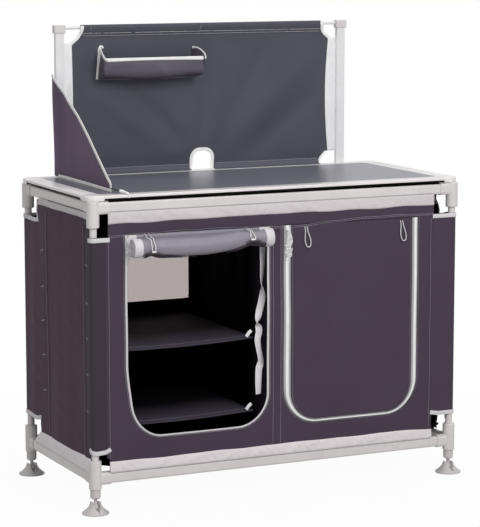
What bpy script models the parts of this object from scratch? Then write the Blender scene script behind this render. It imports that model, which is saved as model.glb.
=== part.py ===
"""Fabric camp kitchen cupboard: tube frame, sewn cabinet, worktop and windscreen.

Metres, +Z up. The front of the cupboard faces -Y and its length runs along X.
The frame of reference of all sizes is the floor point midway between the four legs.
The whole assembly is then moved in Y so that the origin lies below the middle of its outline.
"""

import math

import bmesh
import bpy
import numpy as np
from mathutils import Vector

# Overall
WORKTOP_HEIGHT = 0.800
WORKTOP_LENGTH = 1.057
WORKTOP_DEPTH = 0.481
LEG_INSET_X = 0.0177
LEG_INSET_Y = 0.0098
WINDSCREEN_HEIGHT = 0.399

# Clearances and overruns
FIT_GAP = 0.0003
FABRIC_GAP = 0.0005
OVERRUN = 0.005

# Frame tubes
LEG_DIAMETER = 0.019
TUBE_WALL = 0.0015
RAIL_HEIGHT = 0.028
RAIL_WIDTH = 0.018
RAIL_ROUND = 0.005
LOWER_RAIL_CENTRE = 0.089

# Corner connectors
BARREL_DIAMETER = 0.032
BARREL_ROUND = 0.0025
UPPER_BARREL_LENGTH = 0.066
UPPER_CAP = 0.004
LOWER_BARREL_BOTTOM = 0.062
LOWER_BARREL_LENGTH = 0.073
LOWER_PLATE = 0.009
SOCKET_WALL = 0.0025
SOCKET_REACH = 0.023
BORE_WALL = 0.0025

# Feet
STEM_DIAMETER = 0.008
STEM_LENGTH = 0.045
COLLAR_DIAMETER = 0.0265
COLLAR_LENGTH = 0.023
COLLAR_CHAMFER = 0.003
NECK_DIAMETER = 0.009
BALL_DIAMETER = 0.017
BALL_CENTRE = 0.017
PAD_DIAMETER = 0.0686
PAD_EDGE = 0.003
EAR_DIAMETER = 0.028
EAR_HEIGHT = 0.029
EAR_SLOT = 0.0145
EAR_BORE = 0.0148
SLOT_FLOOR = 0.0055

# Worktop
WORKTOP_THICKNESS = 0.013
RIM_FRONT = 0.040
RIM_SIDE = 0.047
RIM_ROUND = 0.028
RIM_EDGE = 0.0025
RIM_LEDGE = 0.010
LEDGE_THICKNESS = 0.003
RIM_CORNER = 0.045
RIM_STEP_HEIGHT = 0.006
RIM_STEP_DEPTH = 0.020
PANEL_ROUND = 0.010

# Windscreen
POST_INSET = 0.1105
POST_WIDTH = 0.0255
POST_DEPTH = 0.014
POST_ROUND = 0.003
POST_REAR_MARGIN = 0.002
SPIGOT_LENGTH = 0.045
SPIGOT_GAP = 0.0006
CAP_WIDTH = 0.033
CAP_DEPTH = 0.0205
CAP_HEIGHT = 0.0215
CAP_ROUND = 0.004
CAP_SKIRT = 0.006
BAR_DIAMETER = 0.008
BAR_DROP = 0.008
BAR_SEAT = 0.007
SCREEN_CLOTH = 0.0016
SCREEN_EDGE_INSET = 0.002
SCREEN_FLANK = 0.036
SCREEN_STEP = 0.0255
SCREEN_NOTCH_HIGH = 0.026
SCREEN_NOTCH_LOW = 0.048
SCREEN_NOTCH_BASE = 0.035
SLEEVE_WALL = 0.0014
SCREEN_SET_BACK = 0.0095
CUTOUT_LEFT = -0.036
CUTOUT_WIDTH = 0.056
CUTOUT_HEIGHT = 0.050

# Pocket on the screen
POCKET_MARGIN = 0.107
POCKET_RIGHT = -0.035
POCKET_FLARE = 0.006
POCKET_REACH = 0.060
POCKET_TOP_DROP = 0.062
POCKET_HEIGHT = 0.083
POCKET_FRONT_DROP = 0.028
POCKET_FRONT_HEIGHT = 0.037

# Wing at the left post
WING_CLOTH = 0.0016
WING_SPLAY = 0.009
WING_REAR_HEIGHT = 0.266
WING_REAR_LEAN = 0.008
WING_HEM = 0.008
WING_FRONT_MARGIN = 0.0639
WING_KINK_LENGTH = 0.130
WING_KINK_HEIGHT = 0.201
WING_FRONT_HEIGHT = 0.022
WING_LIFT = 0.002
ELASTIC_DIAMETER = 0.004
ELASTIC_SHARES = ((0.0, 0.0), (0.11, 0.33), (0.33, 1.0))

# Cabinet fabric
CLOTH = 0.0014
KEDER_FOLD = 0.007
SIDE_SEAM_INSET = 0.0337
REAR_SEAM_INSET = 0.035
UPPER_NOTCH_DEPTH = 0.0587
# Corner: width along X, width along Y, top of the lower notch
NOTCHES = {
    "front_left": (0.035, 0.0, 0.149),
    "front_right": (0.061, 0.098, 0.166),
    "rear_left": (0.061, 0.112, 0.166),
    "rear_right": (0.035, 0.0, 0.149),
}
DOOR_TOP_MARGIN = 0.0557
LEFT_DOORWAY_MARGIN = 0.0838
LEFT_DOORWAY_TO_DIVIDER = 0.023
LEFT_DOORWAY_BOTTOM = 0.184
LEFT_DOORWAY_RADIUS = 0.088
RIGHT_DOORWAY_MARGIN = 0.1128
RIGHT_DOORWAY_TO_DIVIDER = 0.020
RIGHT_DOORWAY_BOTTOM = 0.180
RIGHT_DOORWAY_RADIUS = 0.095
LEFT_TAPE = 0.008
RIGHT_TAPE_LOW_X = 0.022
RIGHT_TAPE_HIGH_X = 0.012
RIGHT_TAPE_BOTTOM = 0.007
DOOR_BULGE = 0.005
DOOR_FOLD = 0.0012
WINDOW_MARGIN = 0.1108
WINDOW_TO_DIVIDER = 0.027
WINDOW_TOP_MARGIN = 0.0657
WINDOW_HEIGHT = 0.245
WINDOW_ROUND = 0.020

# Inside the cabinet
FLOOR_THICKNESS = 0.003
FLOOR_CORNER = 0.050
FLOOR_LIFT = 0.015
DIVIDER_X = -0.015
DIVIDER_CLOTH = 0.002
SHELF_HEIGHTS = (0.215, 0.405)
SHELF_THICKNESS = 0.005
SHELF_SAG = 0.007
SHELF_FRONT_INSET = 0.0407
SHELF_TAB_LENGTH = 0.038
SHELF_TAB_WIDTH = 0.030
SHELF_TAB_INSET = 0.004

# Rolled left door
ROLL_DIAMETER = 0.055
ROLL_LEFT_INSET = 0.007
ROLL_RIGHT_INSET = 0.003
ROLL_DROP = 0.027
ROLL_SHEET = 0.0036
ROLL_SHEET_GAP = 0.0012
ROLL_TURNS = 4
ROLL_SAG = 0.005
ROLL_PINCH = 0.0045
ROLL_PINCH_WIDTH = 0.030
ROLL_STATION_SHARES = (-0.8, -0.3, 0.3, 0.8)
TIE_SHARES = (0.1227, 0.8496)
TIE_CORD = 0.0026
TIE_SPREAD = 0.008
TIE_ANGLES = (75, 255)
TOGGLE_LENGTH = 0.017
TOGGLE_DIAMETER = 0.0065

# Zip sliders
SLIDER_WIDTH = 0.0065
SLIDER_HEIGHT = 0.011
SLIDER_DEPTH = 0.004
PULL_LENGTH = 0.020
PULL_THICKNESS = 0.0014
LEFT_SLIDER_DROP = 0.032
RIGHT_SLIDER_DROP = 0.012

# Tie loops on the right door
LOOP_PLACE_SHARES = (0.168, 0.883)
LOOP_DROP = 0.006
LOOP_LENGTH = 0.053
LOOP_WIDTH = 0.013
LOOP_CORD = 0.0026
# Of the half width, the length and the reach in front of the door, from one end to the middle
LOOP_SHARES = ((0.4, 0.0, 0.0), (0.48, 0.25, 0.4), (1.0, 0.65, 1.0), (0.75, 0.93, 1.0), (0.0, 1.0, 1.0))

# Facets
ROUND_STEPS = 20
CORNER_STEPS = 2
BALL_STEPS = 5
ROLL_STEPS = 12
BORE_STEPS = 16
RIM_STEPS = 6
WRAP_STEPS = 4
FLARE_STEPS = 5
ARCH_STEPS = 10
DOORWAY_STEPS = 6
LOOP_POINTS = 19
ELASTIC_POINTS = 7
TIE_STEPS = 9
TIE_SIDES = 5
TOGGLE_SIDES = 10
SHELF_COLUMNS = 10
SHELF_ROWS = 4
FLANK_COLUMNS = 5
DOOR_ROWS = 8
DOOR_COLUMNS = 10
SMOOTH_ANGLE = math.radians(40)
BEVEL_ANGLE = math.radians(60)

# Colours and finishes: red, green, blue, roughness, metallic
FINISHES = {
    "tube": (0.66, 0.64, 0.63, 0.35, 0.6),
    "plastic": (0.62, 0.60, 0.59, 0.45, 0.0),
    "cloth": (0.068, 0.050, 0.072, 0.85, 0.0),
    "screen cloth": (0.080, 0.080, 0.100, 0.80, 0.0),
    "grey cloth": (0.20, 0.20, 0.23, 0.80, 0.0),
    "inner cloth": (0.020, 0.018, 0.022, 0.90, 0.0),
    "white cloth": (0.68, 0.65, 0.68, 0.85, 0.0),
    "mesh": (0.46, 0.42, 0.41, 0.90, 0.0),
    "board": (0.13, 0.13, 0.15, 0.40, 0.1),
    "elastic": (0.020, 0.020, 0.022, 0.70, 0.0),
}

# Worked out from the sizes above
HALF_X = WORKTOP_LENGTH / 2 - LEG_INSET_X
HALF_Y = WORKTOP_DEPTH / 2 - LEG_INSET_Y
CLOTH_RADIUS = LEG_DIAMETER / 2 + FIT_GAP + CLOTH
FACE_Y = HALF_Y + CLOTH_RADIUS
FACE_X = HALF_X + CLOTH_RADIUS
UPPER_BARREL_TOP = WORKTOP_HEIGHT - WORKTOP_THICKNESS - FIT_GAP
UPPER_BARREL_BOTTOM = UPPER_BARREL_TOP - UPPER_BARREL_LENGTH
SOCKET_HEIGHT = RAIL_HEIGHT + 2 * SOCKET_WALL
SOCKET_WIDTH = RAIL_WIDTH + 2 * SOCKET_WALL
UPPER_RAIL_CENTRE = UPPER_BARREL_TOP - SOCKET_HEIGHT / 2
SOCKET_END = BARREL_DIAMETER / 2 + SOCKET_REACH
POCKET_START = LEG_DIAMETER / 2 + FIT_GAP + BORE_WALL
WALL_TOP = UPPER_RAIL_CENTRE - RAIL_HEIGHT / 2 - FABRIC_GAP
WALL_BOTTOM = LOWER_RAIL_CENTRE + RAIL_HEIGHT / 2 + FABRIC_GAP
SIDE_SEAM = HALF_Y - SIDE_SEAM_INSET
REAR_SEAM = HALF_X - REAR_SEAM_INSET
UPPER_NOTCH_FLOOR = WALL_TOP - UPPER_NOTCH_DEPTH
DOOR_TOP = WALL_TOP - DOOR_TOP_MARGIN
LEFT_DOORWAY_LOW_X = LEFT_DOORWAY_MARGIN - HALF_X
LEFT_DOORWAY_HIGH_X = DIVIDER_X - LEFT_DOORWAY_TO_DIVIDER
RIGHT_DOORWAY_LOW_X = DIVIDER_X + RIGHT_DOORWAY_TO_DIVIDER
RIGHT_DOORWAY_HIGH_X = HALF_X - RIGHT_DOORWAY_MARGIN
WINDOW_LOW_X = WINDOW_MARGIN - HALF_X
WINDOW_HIGH_X = DIVIDER_X - WINDOW_TO_DIVIDER
WINDOW_TOP = WALL_TOP - WINDOW_TOP_MARGIN
WINDOW_BOTTOM = WINDOW_TOP - WINDOW_HEIGHT
SHELF_FRONT = HALF_Y - SHELF_FRONT_INSET
ROLL_RADIUS = ROLL_DIAMETER / 2
ROLL_Y = -FACE_Y - FABRIC_GAP - ROLL_RADIUS - ROLL_SHEET_GAP
ROLL_Z = DOOR_TOP - ROLL_DROP
ROLL_LOW_X = LEFT_DOORWAY_LOW_X + ROLL_LEFT_INSET
ROLL_HIGH_X = LEFT_DOORWAY_HIGH_X - ROLL_RIGHT_INSET
TIE_X = [ROLL_LOW_X + (ROLL_HIGH_X - ROLL_LOW_X) * share for share in TIE_SHARES]
LEFT_SLIDER_TOP = DOOR_TOP - LEFT_SLIDER_DROP
RIGHT_SLIDER_TOP = DOOR_TOP - RIGHT_SLIDER_DROP
RIGHT_DOORWAY_WIDTH = RIGHT_DOORWAY_HIGH_X - RIGHT_DOORWAY_LOW_X
LOOP_X = [RIGHT_DOORWAY_LOW_X + RIGHT_DOORWAY_WIDTH * share for share in LOOP_PLACE_SHARES]
LOOP_TOP = DOOR_TOP - LOOP_DROP
PAD_RADIUS = PAD_DIAMETER / 2
POST_Y = WORKTOP_DEPTH / 2 - POST_REAR_MARGIN - POST_DEPTH / 2
POST_X = WORKTOP_LENGTH / 2 - POST_INSET
SCREEN_HALF_FULL = POST_X - SCREEN_EDGE_INSET
SCREEN_HALF_SHOULDER = SCREEN_HALF_FULL - SCREEN_FLANK
SCREEN_HALF_TOP = SCREEN_HALF_SHOULDER - SCREEN_STEP
POCKET_LEFT = POCKET_MARGIN - POST_X
SCREEN_BASE = WORKTOP_HEIGHT + FIT_GAP
SCREEN_TOP = WORKTOP_HEIGHT + WINDSCREEN_HEIGHT
POCKET_TOP = SCREEN_TOP - POCKET_TOP_DROP
POCKET_BOTTOM = POCKET_TOP - POCKET_HEIGHT
POCKET_FRONT_TOP = POCKET_TOP - POCKET_FRONT_DROP
POCKET_FRONT_BOTTOM = POCKET_FRONT_TOP - POCKET_FRONT_HEIGHT
BAR_Z = SCREEN_TOP - BAR_DROP
POST_TOP = SCREEN_TOP - CAP_HEIGHT + CAP_SKIRT
HINGE_X = -POST_X - POST_WIDTH / 2 - FIT_GAP - WING_CLOTH / 2
HINGE_Y = POST_Y - POST_DEPTH / 2 - FIT_GAP - WING_CLOTH / 2
DOOR_HINGE_Z = DOOR_TOP - FIT_GAP
TIE_REACH = ROLL_RADIUS - ROLL_PINCH + TIE_CORD
FRONT_REACH = ROLL_RADIUS - ROLL_Y
REAR_REACH = HALF_Y + PAD_RADIUS
ASSEMBLY_SHIFT = (FRONT_REACH - REAR_REACH) / 2

CORNERS = {
    "front_left": (-1, -1),
    "front_right": (1, -1),
    "rear_left": (-1, 1),
    "rear_right": (1, 1),
}


def clear_scene():
    """Remove every object that the file opened with."""
    for thing in list(bpy.data.objects):
        bpy.data.objects.remove(thing, do_unlink=True)


def finish_of(name, kind):
    """A material of its own for one piece."""
    red, green, blue, roughness, metallic = FINISHES[kind]
    material = bpy.data.materials.new(name)
    material.use_nodes = True
    shader = material.node_tree.nodes["Principled BSDF"]
    shader.inputs["Base Color"].default_value = (red, green, blue, 1)
    shader.inputs["Roughness"].default_value = roughness
    shader.inputs["Metallic"].default_value = metallic
    return material


class Body:
    """An empty on a joint's axis, which carries the pieces that move together."""

    def __init__(self, name, place, carrier=None):
        self.place = Vector(place)
        self.empty = bpy.data.objects.new(name, None)
        bpy.context.collection.objects.link(self.empty)
        if carrier is None:
            self.empty.location = self.place
        else:
            self.empty.parent = carrier.empty
            self.empty.location = self.place - carrier.place


def piece(name, form, kind, body):
    """One named piece: its mesh is given in the frame of the legs and hung on its body."""
    bmesh.ops.recalc_face_normals(form, faces=form.faces)
    bmesh.ops.translate(form, verts=form.verts, vec=-body.place)
    data = bpy.data.meshes.new(name)
    form.to_mesh(data)
    form.free()
    data.shade_smooth()
    data.set_sharp_from_angle(angle=SMOOTH_ANGLE)
    thing = bpy.data.objects.new(name, data)
    bpy.context.collection.objects.link(thing)
    thing.parent = body.empty
    if kind:
        data.materials.append(finish_of(name, kind))
    return thing


def shape_piece(target, form, operation, body):
    """Join a further shape to a piece, or cut it away, with a Boolean modifier."""
    tool = piece(f"{target.name}_{operation.lower()}", form, None, body)
    tool.hide_render = True
    tool.hide_set(True)
    tool.display_type = "WIRE"
    change = target.modifiers.new(operation.title(), "BOOLEAN")
    change.operation = operation
    change.solver = "EXACT"
    change.object = tool
    return target


def oriented(point, axis):
    """A point of an outline (across, up) at a depth, turned so that the depth runs along the axis."""
    across, up, depth = point
    if axis == "X":
        return Vector((depth, across, up))
    if axis == "Y":
        return Vector((across, depth, up))
    return Vector((across, up, depth))


def prism(outline, axis, low, high, hole=None):
    """An outline of (across, up) points drawn out along an axis, with or without a matching hole."""
    form = bmesh.new()
    rings = []
    for loop in [outline] + ([hole] if hole else []):
        for depth in (low, high):
            rings.append([form.verts.new(oriented((a, b, depth), axis)) for a, b in loop])
    if hole:
        near, far, near_hole, far_hole = rings
        bands = ((near, far), (far, far_hole), (far_hole, near_hole), (near_hole, near))
    else:
        near, far = rings
        bands = ((near, far),)
        form.faces.new(near)
        form.faces.new(far)
    for first, second in bands:
        for i in range(len(first)):
            j = (i + 1) % len(first)
            form.faces.new((first[i], first[j], second[j], second[i]))
    return form


def rectangle(low_a, high_a, low_b, high_b):
    return [(low_a, low_b), (high_a, low_b), (high_a, high_b), (low_a, high_b)]


def arc(centre_a, centre_b, radius, start, end, steps):
    """Points on a circle from one angle to another, in degrees."""
    turns = np.radians(np.linspace(start, end, steps + 1))
    return [(centre_a + radius * math.cos(t), centre_b + radius * math.sin(t)) for t in turns]


def rounded(centre_a, centre_b, width, height, radius, steps=CORNER_STEPS):
    """A rectangle with round corners about a centre."""
    a, b = width / 2 - radius, height / 2 - radius
    points = []
    for k, (side_a, side_b) in enumerate(((1, 1), (-1, 1), (-1, -1), (1, -1))):
        start = 90 * k
        points += arc(centre_a + side_a * a, centre_b + side_b * b, radius, start, start + 90, steps)
    return points


def circle(centre_a, centre_b, radius, steps=ROUND_STEPS):
    return arc(centre_a, centre_b, radius, 0, 360, steps)[:-1]


def turned(profile, x, y, steps=ROUND_STEPS):
    """A profile of (radius, height) points, from bottom to top, turned about an upright axis."""
    form = bmesh.new()
    rings = []
    for radius, height in profile:
        if radius == 0:
            rings.append([form.verts.new((x, y, height))])
        else:
            rings.append([form.verts.new((a, b, height)) for a, b in circle(x, y, radius, steps)])
    for low, high in zip(rings, rings[1:]):
        for i in range(steps):
            j = (i + 1) % steps
            corners = [low[i % len(low)], low[j % len(low)], high[j % len(high)], high[i % len(high)]]
            form.faces.new(list(dict.fromkeys(corners)))
    if len(rings[0]) > 1:
        form.faces.new(rings[0])
    if len(rings[-1]) > 1:
        form.faces.new(rings[-1])
    return form


def cloth_body(surface, columns, rows, thickness, direction):
    """A sheet from a function of two shares across and up, given its thickness along one direction."""
    form = bmesh.new()
    across_share = np.linspace(0, 1, columns + 1)
    up_share = np.linspace(0, 1, rows + 1)
    step = Vector(direction) * thickness
    front = [[form.verts.new(Vector(surface(u, v))) for u in across_share] for v in up_share]
    back = [[form.verts.new(vert.co + step) for vert in row] for row in front]
    for grid in (front, back):
        for low, high in zip(grid, grid[1:]):
            for i in range(columns):
                form.faces.new((low[i], low[i + 1], high[i + 1], high[i]))
    edge = [(0, i) for i in range(columns)] + [(j, columns) for j in range(rows)]
    edge += [(rows, i) for i in range(columns, 0, -1)] + [(j, 0) for j in range(rows, 0, -1)]
    for (j, i), (n, m) in zip(edge, edge[1:] + edge[:1]):
        form.faces.new((front[j][i], front[n][m], back[n][m], back[j][i]))
    return form


def tube_along(points, radius, sides):
    """A round cord through points that lie in a plane across X."""
    form = bmesh.new()
    path = [Vector(p) for p in points]
    rings = []
    for i, place in enumerate(path):
        ahead = path[min(i + 1, len(path) - 1)] - path[max(i - 1, 0)]
        side = Vector((1, 0, 0))
        up = ahead.normalized().cross(side)
        ring = [place + side * a + up * b for a, b in circle(0, 0, radius, sides)]
        rings.append([form.verts.new(p) for p in ring])
    for low, high in zip(rings, rings[1:]):
        for i in range(sides):
            j = (i + 1) % sides
            form.faces.new((low[i], low[j], high[j], high[i]))
    form.faces.new(rings[0])
    form.faces.new(rings[-1])
    return form


def smooth_route(points, count):
    """Points at even shares of a smooth curve through a few chosen ones."""
    knots = np.array(points)
    padded = np.vstack([2 * knots[0] - knots[1], knots, 2 * knots[-1] - knots[-2]])
    route = []
    for place in np.linspace(0, len(knots) - 1, count):
        k = min(int(place), len(knots) - 2)
        t = place - k
        a, b, c, d = padded[k : k + 4]
        curve = 2 * b + (c - a) * t + (2 * a - 5 * b + 4 * c - d) * t**2
        route.append((curve + (3 * b - a - 3 * c + d) * t**3) / 2)
    return route


def cord(name, points, diameter, kind, body):
    """A limp cord as a curve with a round bevel and closed ends."""
    data = bpy.data.curves.new(name, "CURVE")
    data.dimensions = "3D"
    data.bevel_depth = diameter / 2
    data.bevel_resolution = 2
    data.use_fill_caps = True
    line = data.splines.new("POLY")
    line.points.add(len(points) - 1)
    for spot, place in zip(line.points, points):
        spot.co = (*(Vector(place) - body.place), 1)
    data.materials.append(finish_of(name, kind))
    thing = bpy.data.objects.new(name, data)
    bpy.context.collection.objects.link(thing)
    thing.parent = body.empty
    return thing


def rounded_barrel(x, y, bottom, top, radius):
    """A turned barrel with its two end edges rounded."""
    eased = radius - BARREL_ROUND
    profile = [(0, bottom)]
    profile += [(eased + a, bottom + BARREL_ROUND + b) for a, b in arc(0, 0, BARREL_ROUND, -90, 0, 2)]
    profile += [(eased + a, top - BARREL_ROUND + b) for a, b in arc(0, 0, BARREL_ROUND, 0, 90, 2)]
    return turned(profile + [(0, top)], x, y)


def socket_shapes(x, y, side_x, side_y, rail_z, width, height, near, far, radius):
    """The two rail sockets of a corner, or their hollows: one along X and one along Y."""
    along_x = sorted((x - side_x * near, x - side_x * far))
    along_y = sorted((y - side_y * near, y - side_y * far))
    return (
        prism(rounded(y, rail_z, width, height, radius), "X", *along_x),
        prism(rounded(x, rail_z, width, height, radius), "Y", *along_y),
    )


def connector(name, corner, bottom, top, rail_z, bore_low, bore_high, body):
    """A moulded corner: a barrel bored for the leg, with two hollow rail sockets."""
    side_x, side_y = CORNERS[corner]
    x, y = side_x * HALF_X, side_y * HALF_Y
    thing = piece(name, rounded_barrel(x, y, bottom, top, BARREL_DIAMETER / 2), "plastic", body)
    outer_round = RAIL_ROUND + SOCKET_WALL
    for form in socket_shapes(
        x, y, side_x, side_y, rail_z, SOCKET_WIDTH, SOCKET_HEIGHT, 0, SOCKET_END, outer_round
    ):
        shape_piece(thing, form, "UNION", body)
    bore = prism(circle(x, y, LEG_DIAMETER / 2 + FIT_GAP), "Z", bore_low, bore_high)
    shape_piece(thing, bore, "DIFFERENCE", body)
    hollow = 2 * FIT_GAP
    for form in socket_shapes(
        x,
        y,
        side_x,
        side_y,
        rail_z,
        RAIL_WIDTH + hollow,
        RAIL_HEIGHT + hollow,
        POCKET_START,
        SOCKET_END + OVERRUN,
        RAIL_ROUND + FIT_GAP,
    ):
        shape_piece(thing, form, "DIFFERENCE", body)
    return thing


def build_frame(frame):
    """Legs, corner connectors and rails."""
    for corner, (side_x, side_y) in CORNERS.items():
        x, y = side_x * HALF_X, side_y * HALF_Y
        upper_bore = UPPER_BARREL_TOP - UPPER_CAP
        connector(
            f"upper_corner_{corner}",
            corner,
            UPPER_BARREL_BOTTOM,
            UPPER_BARREL_TOP,
            UPPER_RAIL_CENTRE,
            UPPER_BARREL_BOTTOM - OVERRUN,
            upper_bore,
            frame,
        )
        seat = LOWER_BARREL_BOTTOM + LOWER_PLATE
        top = LOWER_BARREL_BOTTOM + LOWER_BARREL_LENGTH
        lower = connector(
            f"lower_corner_{corner}",
            corner,
            LOWER_BARREL_BOTTOM,
            top,
            LOWER_RAIL_CENTRE,
            seat,
            top + OVERRUN,
            frame,
        )
        thread = circle(x, y, STEM_DIAMETER / 2 + FIT_GAP)
        hole = prism(thread, "Z", LOWER_BARREL_BOTTOM - OVERRUN, seat + OVERRUN)
        shape_piece(lower, hole, "DIFFERENCE", frame)
        leg = prism(
            circle(x, y, LEG_DIAMETER / 2),
            "Z",
            seat + FIT_GAP,
            upper_bore - FIT_GAP,
            circle(x, y, LEG_DIAMETER / 2 - TUBE_WALL),
        )
        piece(f"leg_{corner}", leg, "tube", frame)
    for level, z in (("upper", UPPER_RAIL_CENTRE), ("lower", LOWER_RAIL_CENTRE)):
        end_x = HALF_X - POCKET_START - FIT_GAP
        end_y = HALF_Y - POCKET_START - FIT_GAP
        runs = {
            "front": (-HALF_Y, "X", end_x),
            "rear": (HALF_Y, "X", end_x),
            "left": (-HALF_X, "Y", end_y),
            "right": (HALF_X, "Y", end_y),
        }
        for side, (across, axis, end) in runs.items():
            inner = 2 * TUBE_WALL
            rail = prism(
                rounded(across, z, RAIL_WIDTH, RAIL_HEIGHT, RAIL_ROUND),
                axis,
                -end,
                end,
                rounded(across, z, RAIL_WIDTH - inner, RAIL_HEIGHT - inner, RAIL_ROUND - TUBE_WALL),
            )
            piece(f"{level}_rail_{side}", rail, "tube", frame)


def build_foot(corner, frame):
    """A threaded stem with collar and ball, and the slotted pad that tilts on the ball."""
    side_x, side_y = CORNERS[corner]
    x, y = side_x * HALF_X, side_y * HALF_Y
    collar_top = LOWER_BARREL_BOTTOM - FIT_GAP
    collar_low = collar_top - COLLAR_LENGTH
    adjuster = Body(f"foot_adjuster_{corner}", (x, y, collar_top), frame)
    tilt = Body(f"foot_tilt_{corner}", (x, y, BALL_CENTRE), adjuster)
    ball, neck, collar = BALL_DIAMETER / 2, NECK_DIAMETER / 2, COLLAR_DIAMETER / 2
    meet = 90 - math.degrees(math.asin(neck / ball))
    profile = [(0, BALL_CENTRE - ball)]
    profile += [(r, BALL_CENTRE + h) for r, h in arc(0, 0, ball, -90, meet, BALL_STEPS)[1:]]
    profile += [
        (neck, collar_low),
        (collar - COLLAR_CHAMFER, collar_low),
        (collar, collar_low + COLLAR_CHAMFER),
        (collar, collar_top),
        (STEM_DIAMETER / 2, collar_top),
        (STEM_DIAMETER / 2, collar_top + STEM_LENGTH),
        (0, collar_top + STEM_LENGTH),
    ]
    piece(f"foot_stem_{corner}", turned(profile, x, y), "plastic", adjuster)

    ear = EAR_DIAMETER / 2
    flare = [
        (ear + (PAD_RADIUS - ear) * (1 - share) ** 2, PAD_EDGE + (EAR_HEIGHT - PAD_EDGE) * share)
        for share in np.linspace(0, 1, FLARE_STEPS + 1)
    ]
    pad = piece(
        f"foot_pad_{corner}",
        turned([(0, 0), (PAD_RADIUS, 0)] + flare + [(0, EAR_HEIGHT)], x, y),
        "plastic",
        tilt,
    )
    cup = ball + FIT_GAP
    cavity = [(0, BALL_CENTRE - cup)]
    rim = math.degrees(math.acos(EAR_BORE / 2 / cup))
    cavity += [(r, BALL_CENTRE + h) for r, h in arc(0, 0, cup, -90, rim, BALL_STEPS)[1:]]
    cavity += [(EAR_BORE / 2, EAR_HEIGHT + OVERRUN), (0, EAR_HEIGHT + OVERRUN)]
    shape_piece(pad, turned(cavity, x, y), "DIFFERENCE", tilt)
    slot = [
        (x, SLOT_FLOOR),
        (x + EAR_SLOT / 2, BALL_CENTRE),
        (x + EAR_SLOT / 2, EAR_HEIGHT + OVERRUN),
        (x - EAR_SLOT / 2, EAR_HEIGHT + OVERRUN),
        (x - EAR_SLOT / 2, BALL_CENTRE),
    ]
    reach = PAD_RADIUS + OVERRUN
    shape_piece(pad, prism(slot, "Y", y - reach, y + reach), "DIFFERENCE", tilt)


def corner_clearance(wall, corner, body):
    """Cut the space of a corner's two connectors, and a gap, out of a fabric wall."""
    side_x, side_y = CORNERS[corner]
    x, y = side_x * HALF_X, side_y * HALF_Y
    lower_top = LOWER_BARREL_BOTTOM + LOWER_BARREL_LENGTH
    for bottom, top, rail_z in (
        (UPPER_BARREL_BOTTOM, UPPER_BARREL_TOP, UPPER_RAIL_CENTRE),
        (LOWER_BARREL_BOTTOM, lower_top, LOWER_RAIL_CENTRE),
    ):
        radius = BARREL_DIAMETER / 2 + FABRIC_GAP
        barrel = prism(circle(x, y, radius), "Z", bottom - FABRIC_GAP, top + FABRIC_GAP)
        shape_piece(wall, barrel, "DIFFERENCE", body)
        grow = 2 * FABRIC_GAP
        for form in socket_shapes(
            x,
            y,
            side_x,
            side_y,
            rail_z,
            SOCKET_WIDTH + grow,
            SOCKET_HEIGHT + grow,
            0,
            SOCKET_END + FABRIC_GAP,
            RAIL_ROUND + SOCKET_WALL + FABRIC_GAP,
        ):
            shape_piece(wall, form, "DIFFERENCE", body)


def block(low, high):
    """A plain block between two corners."""
    return prism(rectangle(low[0], high[0], low[1], high[1]), "Z", low[2], high[2])


def wall_strip(path):
    """A plan outline of a cloth wall: an outer line and the line one cloth thickness inside it."""
    outer, inner = zip(*path)
    return list(outer) + list(inner)[::-1]


def corner_wrap(corner, start, end):
    """The cloth round a leg, as pairs of an outer and an inner point."""
    side_x, side_y = CORNERS[corner]
    x, y = side_x * HALF_X, side_y * HALF_Y
    outer = arc(x, y, CLOTH_RADIUS, start, end, WRAP_STEPS)
    inner = arc(x, y, CLOTH_RADIUS - CLOTH, start, end, WRAP_STEPS)
    return list(zip(outer, inner))


def keder_folds(wall, axis, fixed, low, high, body):
    """The hems folded in below the upper rail and above the lower rail along one wall."""
    side = math.copysign(1, fixed)
    inner = fixed - side * (CLOTH + KEDER_FOLD)
    outer = fixed - side * CLOTH / 2
    a, b = sorted((inner, outer))
    for z_low, z_high in ((WALL_TOP - CLOTH, WALL_TOP), (WALL_BOTTOM, WALL_BOTTOM + CLOTH)):
        form = prism(rectangle(a, b, z_low, z_high), axis, low, high)
        shape_piece(wall, form, "UNION", body)


def cut_notches(wall, corner, body):
    """Cut the openings round a leg, above and below its binding, out of a fabric wall."""
    side_x, side_y = CORNERS[corner]
    width_x, width_y, lower_top = NOTCHES[corner]
    deep = CLOTH + KEDER_FOLD + OVERRUN
    for low_z, high_z in (
        (UPPER_NOTCH_FLOOR, WALL_TOP + OVERRUN),
        (WALL_BOTTOM - OVERRUN, lower_top),
    ):
        for reach_x, reach_y in (
            ((HALF_X - width_x, FACE_X + OVERRUN), (FACE_Y - deep, FACE_Y + OVERRUN)),
            ((FACE_X - deep, FACE_X + OVERRUN), (HALF_Y - width_y, FACE_Y + OVERRUN)),
        ):
            a, b = sorted(side_x * x for x in reach_x)
            c, d = sorted(side_y * y for y in reach_y)
            shape_piece(wall, block((a, c, low_z), (b, d, high_z)), "DIFFERENCE", body)


def doorway(low_x, high_x, bottom, top, radius, steps=DOORWAY_STEPS):
    """A U-shaped outline with a flat top and two large round lower corners."""
    points = [(low_x, top)]
    points += arc(low_x + radius, bottom + radius, radius, 180, 270, steps)
    points += arc(high_x - radius, bottom + radius, radius, 270, 360, steps)
    return points + [(high_x, top)]


def left_doorway(inset, top):
    return doorway(
        LEFT_DOORWAY_LOW_X + inset,
        LEFT_DOORWAY_HIGH_X - inset,
        LEFT_DOORWAY_BOTTOM + inset,
        top,
        LEFT_DOORWAY_RADIUS - inset,
    )


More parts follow.
